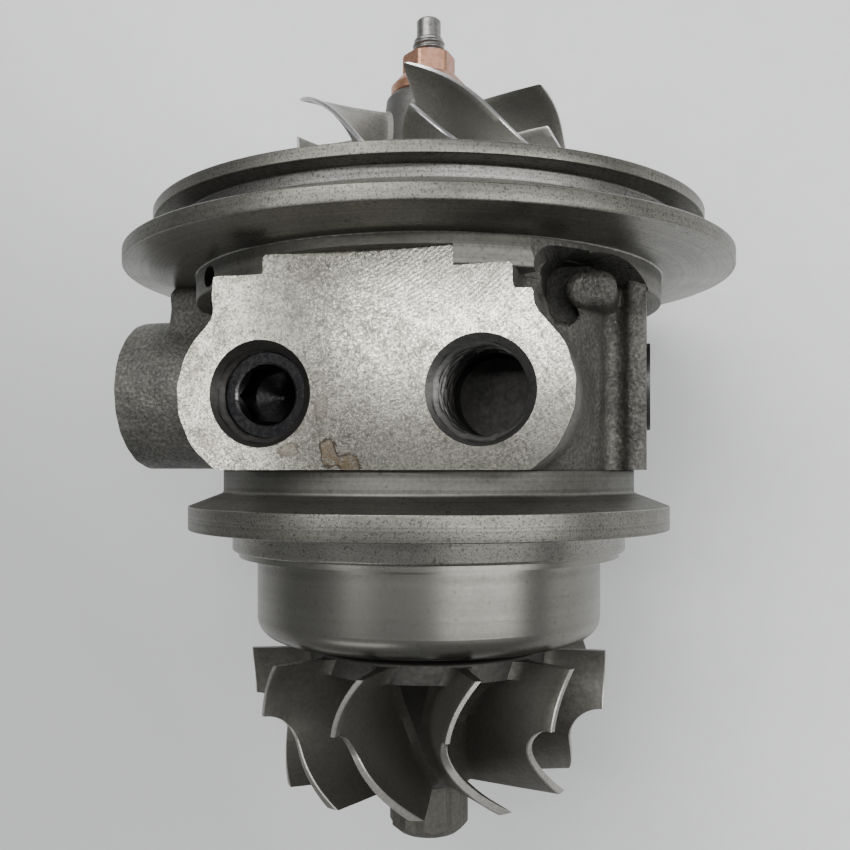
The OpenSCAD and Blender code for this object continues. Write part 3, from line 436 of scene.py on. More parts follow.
def blade_from(name, radius, turn, height, half):
    """A closed blade from its middle surface and its half thickness, given as a turn.

    Rows run along the blade, columns from its root to its tip.
    """
    rows, columns = radius.shape
    front = on_wheel(radius, turn + half, height).reshape(-1, 3)
    back = on_wheel(radius, turn - half, height).reshape(-1, 3)
    size = rows * columns
    faces, ground = [], []
    for i in range(rows - 1):
        for j in range(columns - 1):
            a, d = i * columns + j, (i + 1) * columns + j
            b, c = a + 1, d + 1
            faces += [(a, b, c, d), (size + d, size + c, size + b, size + a)]
            ground += [j >= columns - 2] * 2
    border = [(i * columns + columns - 1, (i + 1) * columns + columns - 1, True) for i in range(rows - 1)]
    border += [((i + 1) * columns, i * columns, False) for i in range(rows - 1)]
    border += [(j, j + 1, True) for j in range(columns - 1)]
    border += [((rows - 1) * columns + j + 1, (rows - 1) * columns + j, True) for j in range(columns - 1)]
    for a, b, bright in border:
        faces.append((a, b, size + b, size + a))
        ground.append(bright)
    piece = make_piece(name, np.concatenate([front, back]), faces)
    mark = piece.data.attributes.new("ground_edge", "BOOLEAN", "FACE")
    mark.data.foreach_set("value", ground)
    work = bmesh.new()
    work.from_mesh(piece.data)
    bmesh.ops.recalc_face_normals(work, faces=work.faces)
    work.to_mesh(piece.data)
    work.free()
    return piece


def blade_ring_tree():
    """Sets a blade round the shaft a number of times and gives it its finishes."""
    tree = bpy.data.node_groups.new("ring_of_blades", "GeometryNodeTree")
    face = tree.interface
    face.new_socket("Blade", in_out="INPUT", socket_type="NodeSocketGeometry")
    face.new_socket("Blade count", in_out="INPUT", socket_type="NodeSocketInt")
    face.new_socket("First blade", in_out="INPUT", socket_type="NodeSocketFloat")
    face.new_socket("Blade finish", in_out="INPUT", socket_type="NodeSocketMaterial")
    face.new_socket("Edge finish", in_out="INPUT", socket_type="NodeSocketMaterial")
    face.new_socket("Blades", in_out="OUTPUT", socket_type="NodeSocketGeometry")
    add, link = tree.nodes.new, tree.links.new
    given, result = add("NodeGroupInput"), add("NodeGroupOutput")
    line = add("GeometryNodeMeshLine")
    line.inputs["Offset"].default_value = (0, 0, 0)
    link(given.outputs["Blade count"], line.inputs["Count"])
    step = add("ShaderNodeMath")
    step.operation = "DIVIDE"
    step.inputs[0].default_value = FULL_TURN
    link(given.outputs["Blade count"], step.inputs[1])
    angle = add("ShaderNodeMath")
    angle.operation = "MULTIPLY_ADD"
    link(add("GeometryNodeInputIndex").outputs[0], angle.inputs[0])
    link(step.outputs[0], angle.inputs[1])
    link(given.outputs["First blade"], angle.inputs[2])
    axis = add("ShaderNodeCombineXYZ")
    link(angle.outputs[0], axis.inputs["Y"])
    turn = add("FunctionNodeEulerToRotation")
    link(axis.outputs[0], turn.inputs[0])
    copies = add("GeometryNodeInstanceOnPoints")
    link(line.outputs["Mesh"], copies.inputs["Points"])
    link(given.outputs["Blade"], copies.inputs["Instance"])
    link(turn.outputs[0], copies.inputs["Rotation"])
    real = add("GeometryNodeRealizeInstances")
    link(copies.outputs[0], real.inputs[0])
    plain = add("GeometryNodeSetMaterial")
    link(real.outputs[0], plain.inputs["Geometry"])
    link(given.outputs["Blade finish"], plain.inputs["Material"])
    mark = add("GeometryNodeInputNamedAttribute")
    mark.data_type = "BOOLEAN"
    mark.inputs["Name"].default_value = "ground_edge"
    bright = add("GeometryNodeSetMaterial")
    link(plain.outputs[0], bright.inputs["Geometry"])
    link(mark.outputs["Attribute"], bright.inputs["Selection"])
    link(given.outputs["Edge finish"], bright.inputs["Material"])
    link(bright.outputs[0], result.inputs[0])
    return tree


def set_round(blade, tree, count, first, finish, edge):
    ring = blade.modifiers.new("ring", "NODES")
    ring.node_group = tree
    names = {s.name: s.identifier for s in tree.interface.items_tree if s.in_out == "INPUT"}
    ring[names["Blade count"]] = count
    ring[names["First blade"]] = math.radians(first)
    ring[names["Blade finish"]] = finish
    ring[names["Edge finish"]] = edge
    return settle(blade)


def root_flare(distance, radius):
    """Extra half thickness where a blade runs into its hub."""
    d = np.clip(distance, 0, radius)
    return radius - np.sqrt(np.maximum(radius ** 2 - (radius - d) ** 2, 0))


def mix(a, b, t):
    return a + (b - a) * t


def turbine_blade():
    top = TURBINE_TOP_Y
    tip_y, exit_y = top - 7.5, top - 18.7
    turn_y, disc_y, hub_y = tip_y - 1.4, top - 2.3, exit_y - 0.7
    inlet_r, outlet_r = 26.05, 21.2
    step = inlet_r - outlet_r
    p = np.radians(np.linspace(0, 90, 15))[1:]
    edge_r = np.concatenate([np.full(11, inlet_r), inlet_r - step * np.sin(p), np.full(16, outlet_r)])
    edge_y = np.concatenate([np.linspace(top, tip_y, 11), tip_y - step * (1 - np.cos(p)),
                             np.linspace(tip_y - step, exit_y, 17)[1:]])

    def hub(y):
        low = np.sqrt(np.maximum(1 - ((y - hub_y) / (disc_y - hub_y)) ** 2, 0))
        return np.where(y >= disc_y, TURBINE_DISC_R, mix(TURBINE_DISC_R, TURBINE_HUB_R, low))

    def twist(y):
        above = 8.8 * ((y - turn_y) / (top - turn_y)) ** 2
        below = 23.5 * ((y - turn_y) / (exit_y - turn_y)) ** 2
        return np.radians(np.where(y > turn_y, above, below))

    share = np.linspace(0, 1, 15) ** 1.25
    root = hub(edge_y) - 1.2
    radius = root[:, None] + (edge_r - 0.14 - root)[:, None] * share[None, :]
    radius = np.concatenate([radius, edge_r[:, None]], 1)
    height = edge_y[:, None] + 0 * radius
    slope = (twist(height + 0.05) - twist(height - 0.05)) / 0.1
    thick = mix(1.9, 0.7, np.clip((radius - 8) / 18.05, 0, 1)) / 2 + root_flare(radius - hub(height), 1.3)
    thick[:, -1] *= 0.72
    half = thick / radius * np.sqrt(1 + (radius * slope) ** 2)
    return blade_from("turbine_blade", radius, twist(height), height, half)


def compressor_hub_line(m):
    """Radius and height of the compressor's hub, from the inlet at 0 to the rim at 1."""
    sweep = m * math.pi / 2
    return mix(NOSE_R, RIM_R, 1 - np.cos(sweep)), mix(INLET_Y, 1.7, np.sin(sweep))


def compressor_blade(name, start):
    """A blade that begins at a share of the way from the inlet to the rim."""
    def tip(m):
        sweep = m * math.pi / 2
        return mix(EYE_R, RIM_R, 1 - np.cos(sweep)), mix(INLET_Y, 4.9, np.sin(sweep))

    def middle(m, s):
        hub_r, hub_y = compressor_hub_line(m)
        tip_r, tip_y = tip(m)
        hub_d, tip_d = INLET_Y - hub_y, INLET_Y - tip_y
        hub_turn = -4 + 2.2 * hub_d + 5 * (1 - np.exp(-hub_d / 1.8)) + 0.85 * (hub_r - NOSE_R)
        tip_turn = 2.05 * tip_d + 22.9 * (1 - np.exp(-tip_d / 2.76)) + 0.6 * (tip_r - EYE_R)
        return mix(hub_r, tip_r, s), np.radians(mix(hub_turn, tip_turn, s)), mix(hub_y, tip_y, s)

    along = mix(start, 0.995, np.linspace(0, 1, 40) ** 1.2)[:, None]
    span = np.concatenate([[-0.1, -0.03, 0.0, 0.03, 0.06, 0.1], np.linspace(0.16, 0.988, 12), [1.0]])[None, :]
    hub_r, hub_y = compressor_hub_line(along)
    tip_r, tip_y = tip(along)
    radius, turn, height = middle(along, span)
    r0, t0, y0 = middle(along - 0.01, span)
    r1, t1, y1 = middle(along + 0.01, span)
    run = np.hypot(r1 - r0, y1 - y0)
    reach = np.hypot(tip_r - hub_r, tip_y - hub_y)
    thick = mix(1.2, 0.6, np.clip(span, 0, 1)) / 2 + root_flare(span * reach, 0.9)
    nose = np.clip((along - start) / 0.05, 0, 1)
    thick = thick * mix(0.45, 1.0, np.sqrt(nose * (2 - nose)))
    thick = thick * np.where(span > 0.995, 0.6, 1.0)
    half = thick / radius * np.sqrt(1 + (radius * (t1 - t0) / run) ** 2)
    return blade_from(name, radius, turn, height, half)


def star_radius(turn, across):
    """Outline of a twelve-point end: two hexagons set 30 degrees apart."""
    out = 0
    for first in (7, 37):
        part = np.mod(turn - math.radians(first), math.pi / 3) - math.pi / 6
        out = np.maximum(out, across / 2 / np.cos(part))
    return out


# Finishes

class Finish:
    """A metal, rubber or floor finish built from nodes on object coordinates."""

    def __init__(self, name):
        self.material = bpy.data.materials.new(name)
        self.material.use_nodes = True
        self.tree = self.material.node_tree
        self.tree.nodes.clear()
        out = self.add("ShaderNodeOutputMaterial")
        self.skin = self.add("ShaderNodeBsdfPrincipled")
        self.tree.links.new(self.skin.outputs[0], out.inputs["Surface"])
        self.place = self.add("ShaderNodeTexCoord").outputs["Object"]

    def add(self, kind, values=None, **settings):
        node = self.tree.nodes.new(kind)
        for key, value in settings.items():
            setattr(node, key, value)
        for key, value in (values or {}).items():
            self.put(node.inputs[key], value)
        return node

    def put(self, socket, value):
        if isinstance(value, bpy.types.NodeSocket):
            self.tree.links.new(value, socket)
        else:
            socket.default_value = value

    def parts(self):
        return self.add("ShaderNodeSeparateXYZ", {"Vector": self.place}).outputs

    def shifted(self, by):
        return self.add("ShaderNodeMapping", {"Vector": self.place, "Location": by}).outputs[0]

    def turned_place(self):
        """Radius and height round the shaft, so that a pattern on it runs in turned rings."""
        parts = self.parts()
        flat = self.add("ShaderNodeCombineXYZ", {"X": parts["X"], "Z": parts["Z"]})
        length = self.add("ShaderNodeVectorMath", {0: flat.outputs[0]}, operation="LENGTH")
        return self.add("ShaderNodeCombineXYZ", {"X": length.outputs["Value"], "Y": parts["Y"]}).outputs[0]

    def noise(self, scale, detail, rough, place=None):
        values = {"Vector": place or self.place, "Scale": scale, "Detail": detail, "Roughness": rough}
        return self.add("ShaderNodeTexNoise", values).outputs["Fac"]

    def cells(self, scale):
        return self.add("ShaderNodeTexVoronoi", {"Vector": self.place, "Scale": scale}).outputs["Distance"]

    def arcs(self, centre, scale, warp, warp_scale):
        """Rings round a centre, as a milling cutter leaves them."""
        values = {"Vector": self.shifted(centre), "Scale": scale, "Distortion": warp, "Detail": 3.0,
                  "Detail Scale": warp_scale}
        return self.add("ShaderNodeTexWave", values, wave_type="RINGS", rings_direction="Z").outputs["Fac"]

    def ramp(self, value, stops):
        node = self.add("ShaderNodeValToRGB", {"Fac": value})
        points = node.color_ramp.elements
        while len(points) < len(stops):
            points.new(0.5)
        for point, (at, colour) in zip(points, stops):
            point.position = at
            point.color = colour if len(colour) == 4 else (*colour, 1)
        return node.outputs["Color"]

    def step(self, value, low, high, to_low=0.0, to_high=1.0):
        values = {"Value": value, "From Min": low, "From Max": high, "To Min": to_low, "To Max": to_high}
        return self.add("ShaderNodeMapRange", values).outputs["Result"]

    def sum(self, operation, a, b, c=None):
        values = {0: a, 1: b} if c is None else {0: a, 1: b, 2: c}
        return self.add("ShaderNodeMath", values, operation=operation).outputs[0]

    def length(self, x, y):
        return self.sum("POWER", self.sum("MULTIPLY_ADD", x, x, self.sum("MULTIPLY", y, y)), 0.5)

    def over(self, share, under, top):
        """One colour laid over another by a share."""
        node = self.add("ShaderNodeMix", data_type="RGBA", blend_type="MIX")
        self.put(node.inputs["Factor"], share)
        self.put([s for s in node.inputs if s.name == "A" and s.type == "RGBA"][0], under)
        self.put([s for s in node.inputs if s.name == "B" and s.type == "RGBA"][0], top)
        return [s for s in node.outputs if s.type == "RGBA"][0]

    def relief(self, height, strength, depth):
        values = {"Height": height, "Strength": strength, "Distance": depth}
        return self.add("ShaderNodeBump", values).outputs["Normal"]

    def dress(self, colour, metallic, roughness, normal=None):
        self.put(self.skin.inputs["Base Color"], colour)
        self.put(self.skin.inputs["Metallic"], metallic)
        self.put(self.skin.inputs["Roughness"], roughness)
        if normal is not None:
            self.put(self.skin.inputs["Normal"], normal)
        return self.material


def cast_iron_finish(name, level):
    f = Finish(name)
    broad = f.noise(90, 4, 0.6)
    grain = f.noise(2100, 4, 0.65)
    pits = f.cells(1500)
    tones = ((0.38, (0.031, 0.031, 0.028)), (0.55, (0.080, 0.078, 0.070)), (0.74, (0.165, 0.161, 0.143)))
    stops = [(at, tuple(level * c for c in tone)) for at, tone in tones]
    colour = f.ramp(f.sum("MULTIPLY_ADD", grain, 0.65, f.sum("MULTIPLY", broad, 0.45)), stops)
    height = f.sum("MULTIPLY_ADD", pits, 0.5, grain)
    return f.dress(colour, 0.55, f.step(grain, 0.3, 0.7, 0.62, 0.46), f.relief(height, 0.75, 0.00022))


# Stains on the pad: patches (x, y, half width, half height), how much they cover, and their colour
PAD_STAINS = (
    (((-4.7, -33.6, 1.1, 1.9), (-2.3, -34.7, 1.7, 1.0)), 0.9, (0.180, 0.134, 0.080, 1)),
    (((-9.9, -33.1, 1.2, 0.75),), 0.6, (0.160, 0.132, 0.095, 1)),
    (((-5.7, -27.9, 0.75, 1.7),), 0.5, (0.165, 0.142, 0.108, 1)),
    (((-6.2, -24.4, 0.8, 0.6),), 0.5, (0.120, 0.105, 0.085, 1)),
    (((-22.2, -22.8, 0.6, 2.6), (-20.5, -32.0, 1.4, 0.8)), 0.4, (0.150, 0.128, 0.100, 1)))
STAIN_RIM = (0.040, 0.030, 0.022, 1)
DARK_SPECK = (0.06, 0.055, 0.05, 1)


def milled_finish():
    f = Finish("milled_iron_pad")
    parts = f.parts()
    broad = f.noise(90, 4, 0.6)
    dents = f.noise(620, 3, 0.6)
    fine = f.sum("MULTIPLY_ADD", f.noise(3000, 2, 0.6), 0.5, f.sum("MULTIPLY", f.noise(5600, 2, 0.6), 0.5))
    patch = f.sum("MULTIPLY_ADD", dents, 0.15, f.sum("MULTIPLY", fine, 0.65))
    patch = f.sum("MULTIPLY_ADD", broad, 0.2, patch)
    colour = f.ramp(patch, [(0.42, (0.100, 0.097, 0.083)), (0.5, (0.253, 0.244, 0.211)),
                            (0.58, (0.46, 0.445, 0.388))])
    # Milling arcs laid on as lighter lines: real tool marks, with more of them at the top right and on the
    # right side as painted sheen.
    swirl = f.arcs((0.012, -0.018, 0), 640.0, 3.2, 1.4)
    cross = f.arcs((0.0078, 0.0433, 0), 420.0, 3.4, 1.2)
    upper = f.sum("MULTIPLY", f.step(parts["Y"], -0.024, -0.016), f.step(parts["X"], -0.006, 0.006))
    right_sheen_zone = f.step(parts["X"], 0.012, 0.019)
    swirl_share = f.sum("MULTIPLY_ADD", upper, 0.4, 0.15)
    cross_share = f.sum("MULTIPLY_ADD", right_sheen_zone, 0.35, 0.12)
    lines = f.sum("MULTIPLY_ADD", swirl, swirl_share, f.sum("MULTIPLY", cross, cross_share))
    colour = f.over(f.step(lines, 0.25, 0.8, 0.0, 0.4), colour, (0.42, 0.41, 0.39, 1))
    specks = f.step(f.noise(1100, 2, 0.5), 0.64, 0.7)
    colour = f.over(f.sum("MULTIPLY", specks, 0.7), colour, DARK_SPECK)
    edge = f.noise(700, 4, 0.7)
    mottle = f.step(f.noise(1500, 3, 0.6), 0.40, 0.58, 0.2, 1.0)
    for spots, cover, tint in PAD_STAINS:
        near = None
        for x, y, wide, tall in spots:
            dx = f.sum("DIVIDE", f.sum("SUBTRACT", parts["X"], x * MILLIMETRE), wide * MILLIMETRE)
            dy = f.sum("DIVIDE", f.sum("SUBTRACT", parts["Y"], y * MILLIMETRE), tall * MILLIMETRE)
            far = f.length(dx, dy)
            near = far if near is None else f.sum("MINIMUM", near, far)
        ragged = f.sum("ADD", near, f.sum("MULTIPLY", f.sum("SUBTRACT", edge, 0.5), 1.9))
        inside = f.sum("MULTIPLY", f.step(ragged, 0.98, 0.92), mottle)
        colour = f.over(f.sum("MULTIPLY", inside, cover), colour, tint)
        rim = f.sum("MULTIPLY", f.step(ragged, 1.12, 1.02), f.step(ragged, 0.82, 0.94))
        colour = f.over(f.sum("MULTIPLY", rim, cover), colour, STAIN_RIM)
    height = f.sum("MULTIPLY_ADD", dents, 0.5, f.sum("MULTIPLY", fine, 0.9))
    height = f.sum("MULTIPLY_ADD", lines, 0.5, height)
    return f.dress(colour, 0.95, f.step(patch, 0.38, 0.62, 0.24, 0.13), f.relief(height, 0.5, 0.000014))


def turned_finish(name, dark, light, rough, metallic=0.95, ring=2400, speck=0.6, groove=0.00005,
                  grit=0.12, pitted=0.0):
    """Metal off a lathe: rings round the shaft, with specks and pits."""
    f = Finish(name)
    turned = f.turned_place()
    rings = f.noise(ring, 3, 0.6, turned)
    bands = f.noise(ring * 0.22, 2, 0.5, turned)
    broad = f.noise(110, 4, 0.6)
    fine = f.noise(2200, 3, 0.6)
    value = f.sum("MULTIPLY_ADD", fine, 0.25, f.sum("MULTIPLY", bands, 0.15))
    value = f.sum("MULTIPLY_ADD", rings, 0.3, f.sum("MULTIPLY_ADD", broad, 0.3, value))
    colour = f.ramp(value, [(0.36, dark), (0.64, light)])
    specks = f.step(f.noise(1300, 2, 0.5), 0.64, 0.7)
    colour = f.over(f.sum("MULTIPLY", specks, speck), colour, DARK_SPECK)
    pits = f.step(f.noise(4600, 2, 0.5), 0.54, 0.66)
    colour = f.over(f.sum("MULTIPLY", pits, pitted), colour, (0.045, 0.042, 0.038, 1))
    height = f.sum("MULTIPLY_ADD", rings, 0.9, f.sum("MULTIPLY", fine, grit))
    roughness = f.step(value, 0.35, 0.65, rough + 0.06, rough - 0.05)
    return f.dress(colour, metallic, roughness, f.relief(height, 0.35, groove))


def blasted_finish(name, dark, light, rough, metallic=0.85, grain=1700, depth=0.00006):
    """Metal with a fine even grain."""
    f = Finish(name)
    broad = f.noise(130, 4, 0.6)
    fine = f.noise(grain, 4, 0.65)
    value = f.sum("MULTIPLY_ADD", fine, 0.5, f.sum("MULTIPLY", broad, 0.5))
    colour = f.ramp(value, [(0.36, dark), (0.64, light)])
    roughness = f.step(value, 0.35, 0.65, rough + 0.07, rough - 0.07)
    return f.dress(colour, metallic, roughness, f.relief(fine, 0.4, depth))


def plug_finish():
    f = Finish("oiled_black_steel")
    fine = f.noise(1700, 4, 0.65)
    colour = f.ramp(fine, [(0.36, (0.004, 0.004, 0.005)), (0.64, (0.011, 0.011, 0.011))])
    parts = f.parts()
    dx = f.sum("ADD", parts["X"], PORT_X * MILLIMETRE)
    dy = f.sum("SUBTRACT", parts["Y"], PORT_Y * MILLIMETRE)
    far = f.length(dx, dy)
    worn = f.sum("MULTIPLY", f.step(far, 0.00375, 0.0039), f.step(far, 0.00412, 0.00397))
    colour = f.over(f.sum("MULTIPLY", worn, f.step(fine, 0.3, 0.55)), colour, (0.16, 0.155, 0.15, 1))
    return f.dress(colour, 0.9, f.step(fine, 0.35, 0.65, 0.36, 0.24), f.relief(fine, 0.4, 0.00006))


def rubber_finish():
    f = Finish("seal_rubber_skin")
    fine = f.noise(1800, 3, 0.6)
    colour = f.ramp(fine, [(0.35, (0.010, 0.010, 0.010)), (0.65, (0.026, 0.026, 0.026))])
    return f.dress(colour, 0.0, f.step(fine, 0.3, 0.7, 0.7, 0.5), f.relief(fine, 0.3, 0.00004))


def floor_finish():
    f = Finish("pale_table")
    broad = f.noise(6, 3, 0.5)
    fine = f.noise(260, 3, 0.5)
    value = f.sum("MULTIPLY_ADD", broad, 0.7, f.sum("MULTIPLY", fine, 0.3))
    colour = f.ramp(value, [(0.3, (0.70, 0.705, 0.707)), (0.7, (0.785, 0.790, 0.792))])
    parts = f.parts()
    # Painted shade: the table darkens towards its bottom-left corner.
    corner = f.step(f.sum("MULTIPLY_ADD", parts["X"], 1.2, parts["Y"]), -0.02, -0.17, 0.0, 0.9)
    colour = f.over(corner, colour, (0.46, 0.463, 0.465, 1))
    return f.dress(colour, 0.0, 0.6)


CAST_IRON = cast_iron_finish("rough_cast_iron", 1.1)
# Darker copy of the cast iron: painted shade for the deep pocket beside the lug.
POCKET_SHADE_IRON = cast_iron_finish("pocket_shade_cast_iron", 0.5)
MILLED_PAD = milled_finish()
TURNED_RIM = turned_finish("turned_iron_rim", (0.125, 0.122, 0.110), (0.27, 0.264, 0.240), 0.30,
                           grit=0.25, pitted=0.6)
TURNED_EDGE = turned_finish("turned_iron_edge", (0.085, 0.083, 0.073), (0.20, 0.195, 0.172), 0.40,
                            grit=0.5, pitted=0.8)
TURNED_DARK = turned_finish("turned_iron_dull", (0.085, 0.083, 0.075), (0.20, 0.196, 0.177), 0.52)
SHADED_IRON = turned_finish("turned_iron_shaded", (0.055, 0.054, 0.048), (0.125, 0.122, 0.109), 0.5)
THREAD_IRON = turned_finish("cut_thread_iron", (0.065, 0.064, 0.061), (0.16, 0.157, 0.151), 0.44)
# Lighter copy of the turned iron for the groove wall under the lip: painted light, set lighter to offset the
# lip's shade.
GROOVE_LIT_IRON = turned_finish("turned_groove_iron_lit", (0.13, 0.128, 0.120), (0.32, 0.315, 0.299), 0.4,
                            grit=0.5, pitted=0.7)
SHIELD_STEEL = turned_finish("pressed_shield_steel", (0.132, 0.129, 0.116), (0.205, 0.201, 0.181), 0.30,
                             1.0, 900, 0.25, 0.00003)
SHAFT_STEEL = turned_finish("ground_shaft_steel", (0.15, 0.146, 0.14), (0.29, 0.285, 0.275), 0.38, 1.0)
PLATE_ALUMINIUM = turned_finish("turned_plate_aluminium", (0.36, 0.36, 0.36), (0.54, 0.54, 0.54), 0.36, 1.0)
OILY_BORE = blasted_finish("oily_bore", (0.016, 0.015, 0.014), (0.040, 0.038, 0.035), 0.5, 0.7)
SPRING_STEEL = blasted_finish("spring_steel", (0.06, 0.06, 0.062), (0.13, 0.13, 0.13), 0.4)
TURBINE_ALLOY = blasted_finish("blasted_turbine_alloy", (0.074, 0.071, 0.062), (0.126, 0.122, 0.108), 0.62)
# Darker copy of the turbine alloy for the hub: painted shade from the heat shield above it.
SHADED_HUB_ALLOY = blasted_finish("shaded_turbine_hub", (0.040, 0.039, 0.036), (0.075, 0.073, 0.068), 0.6)
GROUND_TIP = blasted_finish("ground_blade_tip", (0.22, 0.212, 0.196), (0.42, 0.406, 0.38), 0.38,
                            1.0, 2600, 0.00003)
WHEEL_ALUMINIUM = blasted_finish("cast_wheel_aluminium", (0.245, 0.241, 0.222), (0.40, 0.394, 0.363), 0.52,
                                 0.95, 2200, 0.00004)
HUB_ALUMINIUM = blasted_finish("dull_hub_aluminium", (0.085, 0.084, 0.080), (0.15, 0.147, 0.140), 0.55,
                               0.9, 2200, 0.00004)
BRIGHT_ALUMINIUM = blasted_finish("cut_wheel_edge", (0.42, 0.415, 0.41), (0.64, 0.635, 0.63), 0.3,
                                  1.0, 2600, 0.00003)
COPPER_NUT = blasted_finish("copper_plated_nut", (0.28, 0.135, 0.085), (0.60, 0.35, 0.24), 0.4,
                            1.0, 1400, 0.00005)
BRONZE = blasted_finish("bearing_bronze", (0.34, 0.20, 0.07), (0.58, 0.38, 0.16), 0.36, 1.0)
BLACK_PLUG = plug_finish()
SEAL_RUBBER = rubber_finish()


def give(piece, *finishes):
    piece.data.materials.clear()
    for finish in finishes:
        piece.data.materials.append(finish)
    return piece


def paint_faces(piece, choose):
    """Gives each face the finish whose number choose(centre, normal) returns, in millimetres."""
    mesh = piece.data
    count = len(mesh.polygons)
    centres, normals = np.zeros(count * 3), np.zeros(count * 3)
    mesh.polygons.foreach_get("center", centres)
    mesh.polygons.foreach_get("normal", normals)
    places = choose(centres.reshape(-1, 3) / MILLIMETRE, normals.reshape(-1, 3))
    mesh.polygons.foreach_set("material_index", places.astype(np.int32))
    mesh.update()
    return piece


# Housing: the cast body with its machined faces, and the turned body inside it

casting_points, casting_faces = skin_of(casting, (-48.3, -38.3, -46.3), (34.4, -6.2, 34.4), 0.54)
housing_casting = make_piece("housing_casting", casting_points, casting_faces)
for place, normal in (((0, CASTING_LOW_Y, 0), (0, -1, 0)), ((0, 0, PAD_FACE_Z), (0, 0, 1)),
                      ((LEFT_BOSS_X, 0, 0), (-1, 0, 0)), ((RIGHT_BOSS_X, 0, 0), (1, 0, 0)),
                      ((0, 0, DRAIN_FACE_Z), (0, 0, -1))):
    trim_flat(housing_casting, place, normal)
clean_mesh(housing_casting)

housing_turned = turn_round("housing_turned", [
    # Compressor flange: face, raised lip, groove and disc
    (24.05, 0, 0.25), (36.4, 0, 0), (36.7, 0.3, 0.05), (39.7, 0.3, 0.14), (39.7, -1.2, 0.14),
    (36.2, -1.2, 0.3), (36.2, -2.7, 0), (36.2, -5.4, 0.4), (43.8, -5.4, 0.25), (43.8, -7.45, 0.2),
    # Register, and the core inside the casting
    (33.85, -8.2, 0.3), (33.85, -9.6, 0), (33.85, -12.0, 0.3), (28.0, -12.0, 0), (28.0, -35.5, 0),
    # Neck, clamp flange and spigot of the turbine side
    (30.05, -35.5, 0.2), (30.05, -38.7, 0.5), (35.0, -40.6, 0.16), (35.0, -43.9, 0.16), (28.8, -43.9, 0.3),
    (28.8, -47.05, 0.4), (14.0, -47.05, 0.8), (12.2, -55.25, 0.4), (8.05, -55.25, 0.2),
    # Bores, from the turbine end to the seal plate's seat and the groove of its ring
    (8.05, -45.4, 0), (11.9, -45.4, 0.3), (11.9, -41.4, 0.3), (6.46, -41.4, 0.2), (6.46, -14.1, 0.2),
    (8.8, -14.1, 0.2), (8.8, -11.7, 0.2), (17.25, -11.7, 0.2), (17.25, -6.9, 0.2), (24.05, -6.9, 0.2),
    (24.05, -2.55, 0), (25.4, -2.55, 0), (25.4, -1.25, 0), (24.05, -1.25, 0)])

port_tools = [port_tool("port_tool", (0, 0, 1), (side * PORT_X, PORT_Y, 0), 17.3, PAD_FACE_Z, 5.25, 0.75, 6.5)
              for side in (-1, 1)]
coolant_tool = port_tool("coolant_tool", (-1, 0, 0), (0, COOLANT_Y, 0), 20.5, -LEFT_BOSS_X, 6.2, 0.75, 7.6)
plug_seat = rod_tool("plug_seat", (1, 0, 0), (0, COOLANT_Y, 0), 6.2, 22, 34)
drain_tool = rod_tool("drain_tool", (0, 0, -1), (0, DRAIN_Y, 0), 8.0, 14, OUTSIDE)
passages = [*port_tools, coolant_tool, plug_seat, drain_tool]
drain_bolts = [rod_tool("drain_bolt", (0, 0, -1), (side * DRAIN_BOLT_X, DRAIN_Y, 0), 3.4, 34, OUTSIDE, 32)
               for side in (-1, 1)]

scallop_turn = math.radians(SCALLOP_DEGREES)
scallop_axis = (math.sin(scallop_turn), 0, math.cos(scallop_turn))
scallop = rod_tool("scallop", scallop_axis, (0, CASTING_LOW_Y + 8.6, 0), 18.0, CORE_R - 0.5, 50, 144)
trim_flat(scallop, (0, -14, 0), (0, -1, 0))
clean_mesh(scallop)
milled_flat = block_tool("milled_flat", (-13.0, -13.0, PAD_FACE_Z - 0.05), (10.4, -9.6, OUTSIDE))
locating_hole = rod_tool("locating_hole", (0, 0, 1), (-24, -10.1, 0), 1.4, 18.5, OUTSIDE, 32)
pocket = [rod_tool("pocket_end", (0, 0, 1), (POCKET_X, -11.3, 0), 2.25, POCKET_LOW_Z, OUTSIDE, 32),
          block_tool("pocket_run", (19.15, -17.3, POCKET_LOW_Z), (23.65, -11.3, OUTSIDE)),
          block_tool("pocket_roof", (POCKET_X, -13.4, POCKET_LOW_Z), (25.2, -9.05, OUTSIDE))]
outer_cuts = [scallop, milled_flat, locating_hole, *pocket]

cut_away(housing_turned, [*passages, *outer_cuts])
cut_away(housing_casting, [*passages, *drain_bolts])
drop([*passages, *drain_bolts, *outer_cuts])

CASTING_FINISHES = (CAST_IRON, MILLED_PAD, TURNED_DARK, THREAD_IRON, OILY_BORE, POCKET_SHADE_IRON)
TURNED_FINISHES = (TURNED_RIM, TURNED_DARK, CAST_IRON, OILY_BORE, GROOVE_LIT_IRON, POCKET_SHADE_IRON, TURNED_EDGE,
                   SHADED_IRON)
give(housing_casting, *CASTING_FINISHES)
give(housing_turned, *TURNED_FINISHES)


